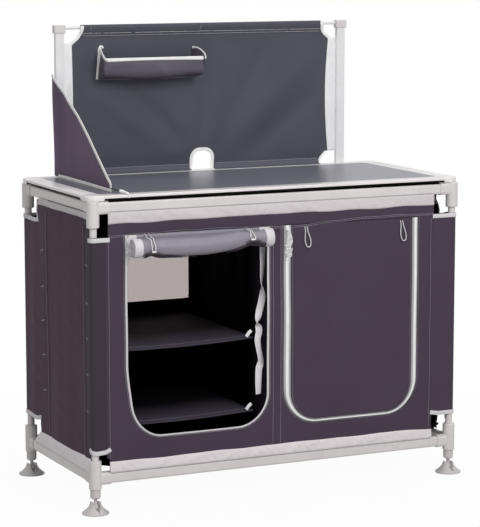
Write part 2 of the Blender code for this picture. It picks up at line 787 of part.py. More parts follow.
def right_doorway(share, gap, top):
    """The right doorway, from its outer outline at share 0 to the door's edge at share 1."""
    low = RIGHT_TAPE_LOW_X * share + gap
    high = RIGHT_TAPE_HIGH_X * share + gap
    bottom = RIGHT_TAPE_BOTTOM * share + gap
    return doorway(
        RIGHT_DOORWAY_LOW_X + low,
        RIGHT_DOORWAY_HIGH_X - high,
        RIGHT_DOORWAY_BOTTOM + bottom,
        top,
        RIGHT_DOORWAY_RADIUS - (low + high) / 2,
    )


def build_walls(frame):
    """The four cloth walls with their doorways, window and corner notches."""
    seam = FIT_GAP / 2
    inside = FACE_X - CLOTH
    front_path = [((-FACE_X, -SIDE_SEAM - seam), (-inside, -SIDE_SEAM - seam))]
    front_path += corner_wrap("front_left", 180, 270)
    front_path += corner_wrap("front_right", 270, 360)
    front_path += [((FACE_X, -SIDE_SEAM - seam), (inside, -SIDE_SEAM - seam))]
    front = piece(
        "front_panel", prism(wall_strip(front_path), "Z", WALL_BOTTOM, WALL_TOP), "cloth", frame
    )
    socket = HALF_X - SOCKET_END - FABRIC_GAP
    keder_folds(front, "X", -FACE_Y, -socket, socket, frame)
    near, far = -FACE_Y - OVERRUN, -FACE_Y + CLOTH + OVERRUN
    for outline in (left_doorway(0, DOOR_TOP), right_doorway(0, 0, DOOR_TOP)):
        shape_piece(front, prism(outline, "Y", near, far), "DIFFERENCE", frame)
    for corner in ("front_left", "front_right"):
        cut_notches(front, corner, frame)
        corner_clearance(front, corner, frame)

    for name, side in (("left", -1), ("right", 1)):
        start, end = (180, 90) if side < 0 else (0, 90)
        path = [((side * FACE_X, -SIDE_SEAM + seam), (side * inside, -SIDE_SEAM + seam))]
        path += corner_wrap(f"rear_{name}", start, end)
        path += [
            ((side * (REAR_SEAM + seam), FACE_Y), (side * (REAR_SEAM + seam), FACE_Y - CLOTH))
        ]
        wall = piece(
            f"{name}_panel", prism(wall_strip(path), "Z", WALL_BOTTOM, WALL_TOP), "cloth", frame
        )
        reach = HALF_Y - SOCKET_END - FABRIC_GAP
        keder_folds(wall, "Y", side * FACE_X, -reach + FIT_GAP, reach, frame)
        for corner in (f"front_{name}", f"rear_{name}"):
            cut_notches(wall, corner, frame)
            corner_clearance(wall, corner, frame)

    end = REAR_SEAM - seam
    rear = piece(
        "rear_panel",
        block((-end, FACE_Y - CLOTH, WALL_BOTTOM), (end, FACE_Y, WALL_TOP)),
        "cloth",
        frame,
    )
    keder_folds(rear, "X", FACE_Y, -socket, socket, frame)
    width, height = WINDOW_HIGH_X - WINDOW_LOW_X, WINDOW_TOP - WINDOW_BOTTOM
    centre = ((WINDOW_LOW_X + WINDOW_HIGH_X) / 2, (WINDOW_TOP + WINDOW_BOTTOM) / 2)
    hole = prism(
        rounded(*centre, width, height, WINDOW_ROUND),
        "Y",
        FACE_Y - CLOTH - OVERRUN,
        FACE_Y + OVERRUN,
    )
    shape_piece(rear, hole, "DIFFERENCE", frame)
    for corner in ("rear_left", "rear_right"):
        cut_notches(rear, corner, frame)
        corner_clearance(rear, corner, frame)
    inset = 2 * FIT_GAP
    window = prism(
        rounded(*centre, width - inset, height - inset, WINDOW_ROUND - FIT_GAP),
        "Y",
        FACE_Y - CLOTH,
        FACE_Y,
    )
    piece("rear_window", window, "mesh", frame)


def build_tapes(frame):
    """The U-shaped zip tapes round the two doorways."""
    near, far = -FACE_Y, -FACE_Y + CLOTH
    top = DOOR_TOP - FIT_GAP
    left = prism(
        left_doorway(FIT_GAP, top) + left_doorway(LEFT_TAPE, top)[::-1], "Y", near, far
    )
    piece("left_zip_tape", left, "white cloth", frame)
    right = prism(
        right_doorway(0, FIT_GAP, top) + right_doorway(1, 0, top)[::-1], "Y", near, far
    )
    piece("right_zip_tape", right, "white cloth", frame)


def build_inside(frame):
    """Floor, divider and the sagging shelves."""
    z = WALL_BOTTOM + FLOOR_LIFT
    a, b = FACE_X - CLOTH - FIT_GAP, FACE_Y - CLOTH - FIT_GAP
    cut_a, cut_b = a - FLOOR_CORNER, b - FLOOR_CORNER
    outline = []
    for side_x, side_y in ((1, 1), (-1, 1), (-1, -1), (1, -1)):
        corner = [(side_x * a, side_y * cut_b), (side_x * cut_a, side_y * cut_b)]
        corner.append((side_x * cut_a, side_y * b))
        outline += corner if side_x * side_y > 0 else corner[::-1]
    piece("floor_panel", prism(outline, "Z", z, z + FLOOR_THICKNESS), "inner cloth", frame)

    half = DIVIDER_CLOTH / 2
    divider_low = z + FLOOR_THICKNESS + FIT_GAP
    divider = block(
        (DIVIDER_X - half, -b, divider_low), (DIVIDER_X + half, b, WALL_TOP - CLOTH - FIT_GAP)
    )
    piece("divider_panel", divider, "inner cloth", frame)

    bays = {
        "left": (-a, DIVIDER_X - half - FIT_GAP - SHELF_TAB_LENGTH, 1),
        "right": (DIVIDER_X + half + FIT_GAP + SHELF_TAB_LENGTH, a, -1),
    }
    for side, (low_x, high_x, towards) in bays.items():
        for level, height in zip(("lower", "upper"), SHELF_HEIGHTS):

            def top_of_shelf(u, v):
                dip = SHELF_SAG * math.sin(math.pi * u) * (1 - v / 2)
                x = low_x + (high_x - low_x) * u
                return x, -SHELF_FRONT + (b + SHELF_FRONT) * v, height - dip

            form = cloth_body(top_of_shelf, SHELF_COLUMNS, SHELF_ROWS, SHELF_THICKNESS, (0, 0, -1))
            shelf = piece(f"{side}_shelf_{level}", form, "inner cloth", frame)
            clear = LEG_DIAMETER / 2 + FIT_GAP
            leg_x = sorted((-towards * (a + OVERRUN), -towards * (HALF_X - clear)))
            leg_corner = block(
                (leg_x[0], HALF_Y - clear, height - SHELF_THICKNESS - SHELF_SAG - OVERRUN),
                (leg_x[1], b + OVERRUN, height + OVERRUN),
            )
            shape_piece(shelf, leg_corner, "DIFFERENCE", frame)
            edge = high_x if towards > 0 else low_x
            for front in (True, False):
                inset = SHELF_TAB_INSET
                y = -SHELF_FRONT + inset if front else b - SHELF_TAB_WIDTH - inset
                x = sorted((edge - towards * inset, edge + towards * SHELF_TAB_LENGTH))
                middle = height - SHELF_THICKNESS / 2
                tab = block(
                    (x[0], y, middle - CLOTH / 2),
                    (x[1], y + SHELF_TAB_WIDTH, middle + CLOTH / 2),
                )
                shape_piece(shelf, tab, "UNION", frame)


def pinch_share(x):
    """How far a tie draws the roll in at a place along it, from 0 to 1."""
    return sum(math.exp(-(((x - tie) / (ROLL_PINCH_WIDTH / 2)) ** 2)) for tie in TIE_X)


def build_roll(frame):
    """The left door, rolled up below its top seam and held by two elastic ties."""
    pitch = ROLL_SHEET + ROLL_SHEET_GAP
    stations = []
    for tie in TIE_X:
        stations += [tie + ROLL_PINCH_WIDTH * share for share in ROLL_STATION_SHARES]
    stations += [ROLL_LOW_X, ROLL_HIGH_X, (TIE_X[0] + TIE_X[1]) / 2]
    form = bmesh.new()
    rings = []
    for x in sorted(stations):
        pinch = ROLL_PINCH * pinch_share(x)
        share = (x - TIE_X[0]) / (TIE_X[1] - TIE_X[0])
        sag = ROLL_SAG * max(0, math.sin(math.pi * min(max(share, 0), 1)))
        outer, inner = [], []
        for k in range(ROLL_TURNS * ROLL_STEPS + 1):
            turn = k / ROLL_STEPS
            angle = -2 * math.pi * turn
            fade = 1 - turn / ROLL_TURNS
            rear = max(0, math.cos(angle)) if turn < 1 else 0
            radius = ROLL_RADIUS - pitch * turn - pinch * fade * (1 - rear)
            drop = sag * (1 - rear)
            for line, depth in ((outer, 0), (inner, ROLL_SHEET)):
                y = ROLL_Y + (radius - depth) * math.cos(angle)
                z = ROLL_Z - drop + (radius - depth) * math.sin(angle)
                line.append((y, z))
        hem_y = ROLL_Y + ROLL_RADIUS
        outline = [(hem_y, DOOR_HINGE_Z)] + outer + inner[::-1]
        outline.append((hem_y - CLOTH, DOOR_HINGE_Z))
        rings.append([form.verts.new((x, y, z)) for y, z in outline])
    for low, high in zip(rings, rings[1:]):
        for i in range(len(low)):
            j = (i + 1) % len(low)
            form.faces.new((low[i], low[j], high[j], high[i]))
    form.faces.new(rings[0])
    form.faces.new(rings[-1])
    piece("rolled_door", form, "grey cloth", frame)

    seam_y = -FACE_Y - FIT_GAP
    for name, tie in zip(("left", "right"), TIE_X):
        share = (tie - TIE_X[0]) / (TIE_X[1] - TIE_X[0])
        centre_z = ROLL_Z - ROLL_SAG * math.sin(math.pi * share)
        wrap = arc(ROLL_Y, centre_z, TIE_REACH, *TIE_ANGLES, TIE_STEPS)
        start_z = DOOR_TOP + 2 * TIE_CORD
        route = [(seam_y, start_z), (seam_y - 2 * TIE_CORD, start_z)] + wrap
        sides = (tie - TIE_SPREAD / 2, tie + TIE_SPREAD / 2)
        bottom = wrap[-1]
        toggle = prism(
            circle(bottom[0], bottom[1] - TOGGLE_DIAMETER / 4, TOGGLE_DIAMETER / 2, TOGGLE_SIDES),
            "X",
            tie - TOGGLE_LENGTH / 2,
            tie + TOGGLE_LENGTH / 2,
        )
        thing = piece(f"roll_tie_{name}", toggle, "white cloth", frame)
        for x in sides:
            strand = tube_along([(x, y, z) for y, z in route], TIE_CORD / 2, TIE_SIDES)
            shape_piece(thing, strand, "UNION", frame)


def zip_slider(name, x, top, body):
    """A slider block with its hanging pull tab."""
    back = -FACE_Y - FIT_GAP
    front = back - SLIDER_DEPTH
    half = SLIDER_WIDTH / 2
    slider = piece(
        name,
        prism(
            rounded(x, top - SLIDER_HEIGHT / 2, SLIDER_WIDTH, SLIDER_HEIGHT, half / 2), "Y", front, back
        ),
        "tube",
        body,
    )
    pull_top = top - SLIDER_HEIGHT / 2
    pull = prism(
        rounded(x, pull_top - PULL_LENGTH / 2, SLIDER_WIDTH * 2 / 3, PULL_LENGTH, half / 2),
        "Y",
        front - PULL_THICKNESS / 2,
        front + PULL_THICKNESS / 2,
    )
    return shape_piece(slider, pull, "UNION", body)


def build_right_door(frame):
    """The closed door flap, hinged on its top seam, with two hanging tie loops."""
    hinge = Body("right_door_hinge", (0, -FACE_Y, DOOR_HINGE_Z), frame)
    low = RIGHT_DOORWAY_LOW_X + RIGHT_TAPE_LOW_X + FIT_GAP
    high = RIGHT_DOORWAY_HIGH_X - RIGHT_TAPE_HIGH_X - FIT_GAP
    bottom = RIGHT_DOORWAY_BOTTOM + RIGHT_TAPE_BOTTOM + FIT_GAP
    radius = RIGHT_DOORWAY_RADIUS - (RIGHT_TAPE_LOW_X + RIGHT_TAPE_HIGH_X) / 2 - FIT_GAP

    levels = [(radius + a, bottom + radius + b) for a, b in arc(0, 0, radius, 270, 180, DOORWAY_STEPS)]
    levels += [(0, z) for z in np.linspace(bottom + radius, DOOR_HINGE_Z, DOOR_ROWS + 1)[1:]]

    def front_of_door(u, v):
        cut, z = levels[round(v * (len(levels) - 1))]
        x = low + cut + (high - low - 2 * cut) * u
        crown = math.sin(math.pi * u) * math.sin(math.pi * v)
        folds = math.cos(2 * math.pi * (3 * u + v)) * crown
        return x, -FACE_Y - DOOR_BULGE * crown - DOOR_FOLD * folds, z

    form = cloth_body(front_of_door, DOOR_COLUMNS, len(levels) - 1, CLOTH, (0, 1, 0))
    piece("right_door", form, "cloth", hinge)

    start_y = -FACE_Y - 2 * FIT_GAP - LOOP_CORD / 2
    for name, x in zip(("left", "right"), LOOP_X):
        knots = []
        for across, down, out in LOOP_SHARES:
            y = start_y - 2 * DOOR_FOLD * out
            knots.append((x - across * LOOP_WIDTH / 2, y, LOOP_TOP - LOOP_LENGTH * down))
        knots += [(2 * x - a, y, z) for a, y, z in knots[-2::-1]]
        cord(f"door_loop_{name}", smooth_route(knots, LOOP_POINTS), LOOP_CORD, "white cloth", hinge)

    left_x = LEFT_DOORWAY_LOW_X + SLIDER_WIDTH / 2
    left = Body("left_slider_carrier", (left_x, -FACE_Y, LEFT_SLIDER_TOP), frame)
    zip_slider("left_zip_slider", left_x, LEFT_SLIDER_TOP, left)
    right_x = RIGHT_DOORWAY_LOW_X + RIGHT_TAPE_LOW_X / 2
    right = Body("right_slider_carrier", (right_x, -FACE_Y, RIGHT_SLIDER_TOP), frame)
    zip_slider("right_zip_slider", right_x, RIGHT_SLIDER_TOP, right)


def cut_rim_steps(rim, bottom, worktop):
    """Thin the rim's edge from below between its four corners, which stand on the connectors."""
    half_x, half_y = WORKTOP_LENGTH / 2, WORKTOP_DEPTH / 2
    reach_x, reach_y = half_x - RIM_CORNER, half_y - RIM_CORNER
    low_z, high_z = bottom - OVERRUN, bottom + RIM_STEP_HEIGHT
    for side in (-1, 1):
        a, b = sorted(side * x for x in (half_x - RIM_STEP_DEPTH, half_x + OVERRUN))
        c, d = sorted(side * y for y in (half_y - RIM_STEP_DEPTH, half_y + OVERRUN))
        shape_piece(rim, block((a, -reach_y, low_z), (b, reach_y, high_z)), "DIFFERENCE", worktop)
        shape_piece(rim, block((-reach_x, c, low_z), (reach_x, d, high_z)), "DIFFERENCE", worktop)


def build_worktop(frame):
    """The worktop: a panel let into a rim, whose rear edge carries two spigots for the posts."""
    bottom = WORKTOP_HEIGHT - WORKTOP_THICKNESS
    worktop = Body("worktop", (0, 0, bottom), frame)
    outline = rounded(0, 0, WORKTOP_LENGTH, WORKTOP_DEPTH, RIM_ROUND, RIM_STEPS)
    edge = 2 * RIM_EDGE
    eased = rounded(
        0, 0, WORKTOP_LENGTH - edge, WORKTOP_DEPTH - edge, RIM_ROUND - RIM_EDGE, RIM_STEPS
    )
    form = bmesh.new()
    levels = (
        (eased, bottom),
        (outline, bottom + RIM_EDGE),
        (outline, WORKTOP_HEIGHT - RIM_EDGE),
        (eased, WORKTOP_HEIGHT),
    )
    rings = [[form.verts.new((a, b, z)) for a, b in loop] for loop, z in levels]
    for low, high in zip(rings, rings[1:]):
        for i in range(len(low)):
            j = (i + 1) % len(low)
            form.faces.new((low[i], low[j], high[j], high[i]))
    form.faces.new(rings[0])
    form.faces.new(rings[-1])
    rim = piece("worktop_rim", form, "plastic", worktop)
    open_x = WORKTOP_LENGTH - 2 * RIM_SIDE
    open_y = WORKTOP_DEPTH - 2 * RIM_FRONT
    ledge_top = bottom + LEDGE_THICKNESS
    recess = rounded(0, 0, open_x, open_y, PANEL_ROUND)
    shape_piece(
        rim, prism(recess, "Z", ledge_top, WORKTOP_HEIGHT + OVERRUN), "DIFFERENCE", worktop
    )
    ledge = 2 * RIM_LEDGE
    under = rounded(0, 0, open_x - ledge, open_y - ledge, PANEL_ROUND)
    shape_piece(rim, prism(under, "Z", bottom - OVERRUN, ledge_top + OVERRUN), "DIFFERENCE", worktop)
    cut_rim_steps(rim, bottom, worktop)
    play = 2 * (TUBE_WALL + SPIGOT_GAP)
    for side in (-1, 1):
        tongue = rounded(
            side * POST_X, POST_Y, POST_WIDTH - play, POST_DEPTH - play, POST_ROUND - TUBE_WALL / 2
        )
        spigot = prism(
            tongue, "Z", WORKTOP_HEIGHT - WORKTOP_THICKNESS / 2, WORKTOP_HEIGHT + SPIGOT_LENGTH
        )
        shape_piece(rim, spigot, "UNION", worktop)
    gap = 2 * FIT_GAP
    board = rounded(0, 0, open_x - gap, open_y - gap, PANEL_ROUND - FIT_GAP)
    form = prism(board, "Z", ledge_top + FIT_GAP, WORKTOP_HEIGHT - FIT_GAP)
    piece("worktop_panel", form, "board", worktop)
    return worktop


def build_windscreen(worktop):
    """Two posts with caps, the bar between them, the screen hung on the bar and its pocket."""
    screen_body = Body("windscreen", (0, POST_Y, SCREEN_BASE), worktop)
    inner = 2 * TUBE_WALL
    for name, side in (("left", -1), ("right", 1)):
        x = side * POST_X
        post = prism(
            rounded(x, POST_Y, POST_WIDTH, POST_DEPTH, POST_ROUND),
            "Z",
            SCREEN_BASE,
            POST_TOP,
            rounded(x, POST_Y, POST_WIDTH - inner, POST_DEPTH - inner, POST_ROUND - TUBE_WALL / 2),
        )
        piece(f"post_{name}", post, "tube", screen_body)
        cap_bottom = SCREEN_TOP - CAP_HEIGHT
        cap = piece(
            f"post_cap_{name}",
            prism(
                rounded(x, POST_Y, CAP_WIDTH, CAP_DEPTH, CAP_ROUND), "Z", cap_bottom, SCREEN_TOP
            ),
            "plastic",
            screen_body,
        )
        edge = cap.modifiers.new("Round", "BEVEL")
        edge.width = CAP_ROUND / 2
        edge.segments = 2
        edge.limit_method = "ANGLE"
        edge.angle_limit = BEVEL_ANGLE
        fit = 2 * FIT_GAP
        seat = prism(
            rounded(x, POST_Y, POST_WIDTH + fit, POST_DEPTH + fit, POST_ROUND + FIT_GAP),
            "Z",
            cap_bottom - OVERRUN,
            POST_TOP + FIT_GAP,
        )
        shape_piece(cap, seat, "DIFFERENCE", screen_body)
        hole_x = sorted((x - side * (CAP_WIDTH / 2 + OVERRUN), x - side * (CAP_WIDTH / 2 - BAR_SEAT)))
        hole = prism(circle(POST_Y, BAR_Z, BAR_DIAMETER / 2 + FIT_GAP, BORE_STEPS), "X", *hole_x)
        shape_piece(cap, hole, "DIFFERENCE", screen_body)
    bar_end = POST_X - CAP_WIDTH / 2 + BAR_SEAT - FIT_GAP
    bar = prism(circle(POST_Y, BAR_Z, BAR_DIAMETER / 2, BORE_STEPS), "X", -bar_end, bar_end)
    piece("top_bar", bar, "tube", screen_body)
    build_screen(screen_body)
    build_wing(screen_body)


def build_screen(screen_body):
    """The screen cloth: a sleeve round the bar, a flat sheet and flanks bent behind the posts."""
    half_top, half_shoulder, half_full = SCREEN_HALF_TOP, SCREEN_HALF_SHOULDER, SCREEN_HALF_FULL
    cloth = SCREEN_CLOTH

    def plan(x):
        bend = min(max((abs(x) - half_shoulder) / (half_full - half_shoulder), 0), 1)
        return POST_Y - cloth / 2 + SCREEN_SET_BACK * bend * bend * (3 - 2 * bend)

    flank = np.linspace(half_shoulder, half_full, FLANK_COLUMNS + 1)
    spread = list(-flank[::-1]) + [0.0] + list(flank)
    top = SCREEN_TOP - SCREEN_NOTCH_LOW

    def sheet(u, v):
        place = u * (len(spread) - 1)
        k = min(int(place), len(spread) - 2)
        x = spread[k] + (spread[k + 1] - spread[k]) * (place - k)
        return x, plan(x), SCREEN_BASE + (top - SCREEN_BASE) * v

    form = cloth_body(sheet, len(spread) - 1, 1, cloth, (0, 1, 0))
    screen = piece("screen_panel", form, "screen cloth", screen_body)
    outer = BAR_DIAMETER / 2 + FIT_GAP + SLEEVE_WALL
    upper = [
        (-half_shoulder, top - OVERRUN),
        (half_shoulder, top - OVERRUN),
        (half_shoulder, top),
        (half_top, SCREEN_TOP - SCREEN_NOTCH_HIGH),
        (half_top, BAR_Z),
        (-half_top, BAR_Z),
        (-half_top, SCREEN_TOP - SCREEN_NOTCH_HIGH),
        (-half_shoulder, top),
    ]
    head = prism(upper, "Y", POST_Y - cloth / 2, POST_Y + cloth / 2)
    shape_piece(screen, head, "UNION", screen_body)
    sleeve = prism(circle(POST_Y, BAR_Z, outer, BORE_STEPS), "X", -half_top, half_top)
    shape_piece(screen, sleeve, "UNION", screen_body)
    hollow = circle(POST_Y, BAR_Z, BAR_DIAMETER / 2 + FIT_GAP, BORE_STEPS)
    bore = prism(hollow, "X", -half_top - OVERRUN, half_top + OVERRUN)
    shape_piece(screen, bore, "DIFFERENCE", screen_body)
    near, far = POST_Y - SCREEN_SET_BACK, POST_Y + SCREEN_SET_BACK
    high_x = CUTOUT_LEFT + CUTOUT_WIDTH
    middle = CUTOUT_LEFT + CUTOUT_WIDTH / 2
    crown = SCREEN_BASE + CUTOUT_HEIGHT - CUTOUT_WIDTH / 2
    arch = [(CUTOUT_LEFT, SCREEN_BASE - OVERRUN), (high_x, SCREEN_BASE - OVERRUN)]
    arch += arc(middle, crown, CUTOUT_WIDTH / 2, 0, 180, ARCH_STEPS)
    shape_piece(screen, prism(arch, "Y", near, far), "DIFFERENCE", screen_body)
    for side in (-1, 1):
        edge = [
            (side * (half_full + OVERRUN), SCREEN_BASE - OVERRUN),
            (side * (half_shoulder - OVERRUN), SCREEN_BASE - OVERRUN),
            (side * half_full, SCREEN_BASE + SCREEN_NOTCH_BASE),
            (side * (half_full + OVERRUN), SCREEN_BASE + SCREEN_NOTCH_BASE),
        ]
        cut = prism(edge, "Y", near, far + SCREEN_SET_BACK)
        shape_piece(screen, cut, "DIFFERENCE", screen_body)
    build_pocket(screen_body)


def build_pocket(screen_body):
    """An open-topped pocket: the outer corners, and the inner ones one cloth inside them."""
    back = POST_Y - SCREEN_CLOTH / 2 - FIT_GAP
    front = back - POCKET_REACH
    wall = SCREEN_CLOTH
    low, high = POCKET_LEFT, POCKET_RIGHT
    wide = POCKET_FLARE
    outer = [
        (low, back, POCKET_BOTTOM),
        (high, back, POCKET_BOTTOM),
        (high + wide, front, POCKET_FRONT_BOTTOM),
        (low - wide, front, POCKET_FRONT_BOTTOM),
        (low, back, POCKET_TOP),
        (high, back, POCKET_TOP),
        (high + wide, front, POCKET_FRONT_TOP),
        (low - wide, front, POCKET_FRONT_TOP),
    ]
    inner = [
        (low + wall, back - wall, POCKET_BOTTOM + 2 * wall),
        (high - wall, back - wall, POCKET_BOTTOM + 2 * wall),
        (high + wide - wall, front + wall, POCKET_FRONT_BOTTOM + 2 * wall),
        (low - wide + wall, front + wall, POCKET_FRONT_BOTTOM + 2 * wall),
        (low + wall, back - wall, POCKET_TOP),
        (high - wall, back - wall, POCKET_TOP),
        (high + wide - wall, front + wall, POCKET_FRONT_TOP),
        (low - wide + wall, front + wall, POCKET_FRONT_TOP),
    ]
    form = bmesh.new()
    shells = [[form.verts.new(corner) for corner in ring] for ring in (outer, inner)]
    for shell in shells:
        form.faces.new(shell[:4])
        for i in range(4):
            j = (i + 1) % 4
            form.faces.new((shell[i], shell[j], shell[j + 4], shell[i + 4]))
    out, ins = shells
    for i in range(4, 8):
        j = 4 + (i + 1) % 4
        form.faces.new((out[i], out[j], ins[j], ins[i]))
    piece("screen_pocket", form, "screen cloth", screen_body)


def build_wing(screen_body):
    """The side wing, which swings on the left post's front outer edge, and its elastic cord."""
    wing = Body("wing_hinge", (HINGE_X, HINGE_Y, SCREEN_BASE), screen_body)
    base = WORKTOP_HEIGHT + WING_LIFT
    front_y = WING_FRONT_MARGIN - WORKTOP_DEPTH / 2
    rear_y = HINGE_Y + WING_HEM
    outline = [
        (front_y, base),
        (rear_y, base),
        (HINGE_Y - WING_REAR_LEAN, WORKTOP_HEIGHT + WING_REAR_HEIGHT),
        (HINGE_Y - WING_KINK_LENGTH, WORKTOP_HEIGHT + WING_KINK_HEIGHT),
        (front_y, WORKTOP_HEIGHT + WING_FRONT_HEIGHT),
    ]
    half = WING_CLOTH / 2
    form = prism(outline, "X", HINGE_X - half, HINGE_X + half)
    for vert in form.verts:
        vert.co.x -= WING_SPLAY * (rear_y - vert.co.y) / (rear_y - front_y)
    piece("wing_panel", form, "cloth", wing)
    start_y = front_y - 2 * FIT_GAP
    start_z = WORKTOP_HEIGHT + WING_FRONT_HEIGHT / 2
    run = start_y + WORKTOP_DEPTH / 2 - RIM_EDGE
    drop = start_z - WORKTOP_HEIGHT - WING_LIFT - ELASTIC_DIAMETER / 2
    knots = [
        (HINGE_X - WING_SPLAY + run * across, start_y - run * along, start_z - drop * along)
        for across, along in ELASTIC_SHARES
    ]
    cord("wing_elastic", smooth_route(knots, ELASTIC_POINTS), ELASTIC_DIAMETER, "elastic", wing)


def main():
    clear_scene()
    cupboard = bpy.data.objects.new("cupboard", None)
    bpy.context.collection.objects.link(cupboard)
    cupboard.location = (0, ASSEMBLY_SHIFT, 0)
    frame = Body("frame", (0, 0, 0))
    frame.empty.parent = cupboard
    build_frame(frame)
    for corner in CORNERS:
        build_foot(corner, frame)
    build_walls(frame)
    build_tapes(frame)
    build_inside(frame)
    build_roll(frame)
    build_right_door(frame)
    build_windscreen(build_worktop(frame))


main()
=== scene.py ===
"""Looks of the fabric camp kitchen cupboard, laid out as an add-on and run as a script.

All shapes are worked out in the frame of the legs: the floor point midway between them,
+X to the right seen from the front, +Y to the rear, +Z up, in metres. What lies on a wall is
laid out in (u, z): metres along the wall's line in plan and metres above the floor.
"""

import math

import bmesh
import bpy
import numpy as np
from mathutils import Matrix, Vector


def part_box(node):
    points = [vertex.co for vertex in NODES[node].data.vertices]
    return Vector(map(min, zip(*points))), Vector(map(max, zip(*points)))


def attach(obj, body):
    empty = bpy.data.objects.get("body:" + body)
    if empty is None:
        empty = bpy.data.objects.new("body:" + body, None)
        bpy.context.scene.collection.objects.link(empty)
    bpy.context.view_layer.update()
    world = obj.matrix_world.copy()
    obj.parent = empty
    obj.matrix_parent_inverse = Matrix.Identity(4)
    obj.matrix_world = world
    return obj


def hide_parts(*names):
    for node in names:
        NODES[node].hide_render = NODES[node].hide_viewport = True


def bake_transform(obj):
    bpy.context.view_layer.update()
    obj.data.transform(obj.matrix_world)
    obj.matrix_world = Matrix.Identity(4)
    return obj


bl_info = {
    "name": "Camp kitchen cupboard",
    "version": (1, 0, 0),
    "blender": (4, 5, 0),
    "location": "3D View > Sidebar > Cupboard",
    "description": "Sewn cloth, zips, cords, rim and finishes of a fabric camp kitchen cupboard",
    "category": "Add Mesh",
}

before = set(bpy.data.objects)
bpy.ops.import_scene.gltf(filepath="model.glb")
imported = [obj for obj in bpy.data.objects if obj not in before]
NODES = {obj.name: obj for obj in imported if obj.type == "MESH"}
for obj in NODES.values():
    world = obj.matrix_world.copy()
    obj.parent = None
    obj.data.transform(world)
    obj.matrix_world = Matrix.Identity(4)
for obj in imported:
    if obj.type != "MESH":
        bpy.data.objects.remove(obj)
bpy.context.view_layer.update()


def middle(node):
    """Centre of a solid's box."""
    low, high = (np.array(corner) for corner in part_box(node))
    return (low + high) / 2


# Places read from the solids
SHIFT = float(middle("leg_front_left")[1] + middle("leg_rear_left")[1]) / 2
LEG_X = float(middle("leg_front_right")[0])
LEG_Y = float(middle("leg_rear_left")[1]) - SHIFT
WALL_LOW, WALL_HIGH = (float(corner.z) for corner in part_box("front_panel"))
FACE_X = float(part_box("front_panel")[1].x)
FACE_Y = SHIFT - float(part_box("front_panel")[0].y)
WRAP = FACE_X - LEG_X
POST_X = float(middle("post_right")[0])
POST_Y = float(middle("post_right")[1]) - SHIFT
WORKTOP = 0.8
SCREEN_LOW = WORKTOP + 0.0003
BAR_Z = float(middle("top_bar")[2])
WING_X = float(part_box("wing_panel")[1].x) - 0.0008

# Walls. A notch is cut out where a leg passes: its width on the front or rear wall, its width
# on the side wall and the height up to which the lower one reaches, by (side, front or rear).
SIDE_SEAM = 0.197
REAR_SEAM = 0.4758
NOTCH_FLOOR = 0.697
NOTCHES = {
    (-1, -1): (0.035, 0.0, 0.155),
    (1, -1): (0.061, 0.098, 0.168),
    (-1, 1): (0.061, 0.112, 0.172),
    (1, 1): (0.035, 0.0, 0.155),
}
CLOTH_GRID = 0.0055
TRIM_GRID = 0.006
QUARTER = WRAP * math.pi / 2
STRIP = (-0.4785, 0.447)
ABOVE_ALL = 1.0
BEYOND = 1.0

# Doorways: left side, right side, bottom and radius of the lower corners. Their tapes: width
# at the left, at the right and along the bottom.
DOOR_TOP = 0.7
LEFT_DOOR = (-0.4305, -0.0335, 0.184, 0.088)
RIGHT_DOOR = (0.0085, 0.4015, 0.18, 0.095)
RIGHT_BAND = (0.0205, 0.0165, 0.007)
LEFT_BAND = (0.0042, 0.005, 0.003)
HANG = 0.0145

# Window: left, right, bottom, top and corner radius
WINDOW = (-0.247, -0.042, 0.445, 0.69, 0.012)

# Sleeves of the rails: heights of their free edges on the front and on the other walls
BAND_TOP = (0.7292, 0.7415)
BAND_LOW = (0.1302, 0.14)
BAND_PAST_RAIL = 0.003

# Inside
DIVIDER_X = -0.015
SHELF_TOPS = (0.2165, 0.4085)
SHELF_FRONT = -0.19
FLOOR_TOP = float(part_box("floor_panel")[1].z)

# Rolled door: its ends, its axis, the places of its ties and how deep and wide they draw it in
ROLL = (-0.4232, -0.041)
ROLL_RADIUS = 0.0258
ROLL_Y = -0.2694
ROLL_Z = 0.6705
ROLL_TAPE = 0.022
TIES = (-0.3735, -0.098)
PINCH = ((0.0055, 0.013), (0.0085, 0.027))

# Windscreen: half width of the cloth and of its tapes, and the arch's left, right and top
SCREEN_HALF = 0.38
STRIP_HALF = 0.416
STRIP_LOW, STRIP_HIGH = 0.835, 1.15
CUTOUT = (-0.0365, 0.0205, 0.8525)
CUTOUT_CORNER = 0.021
BOW = {"left": 0.002, "right": 0.009}
SCREEN_Y = POST_Y - 0.0008

# Wing: its rear and front ends and its foot
WING_FRONT, WING_BEND, WING_REAR = -0.1766, 0.0934, 0.2154
WING_FOOT = 0.8028

# Rim of the worktop: half its length and depth, its outer round, its corner mouldings and the
# well that holds the panel
RIM_HALF_X, RIM_HALF_Y = 0.5285, 0.2405
RIM_ROUND = 0.028
RIM_CORNER = 0.045
RIM_SIDE, RIM_FRONT = 0.047, 0.04
WELL_ROUND = 0.01

FORWARD = (0, -1, 0)
UPWARD = (0, 0, 1)
LEFTWARD = (-1, 0, 0)


# Materials

# Metres that one stripe of a Wave texture of scale 1 and its gap take together
WAVE_SPAN = math.pi / 10


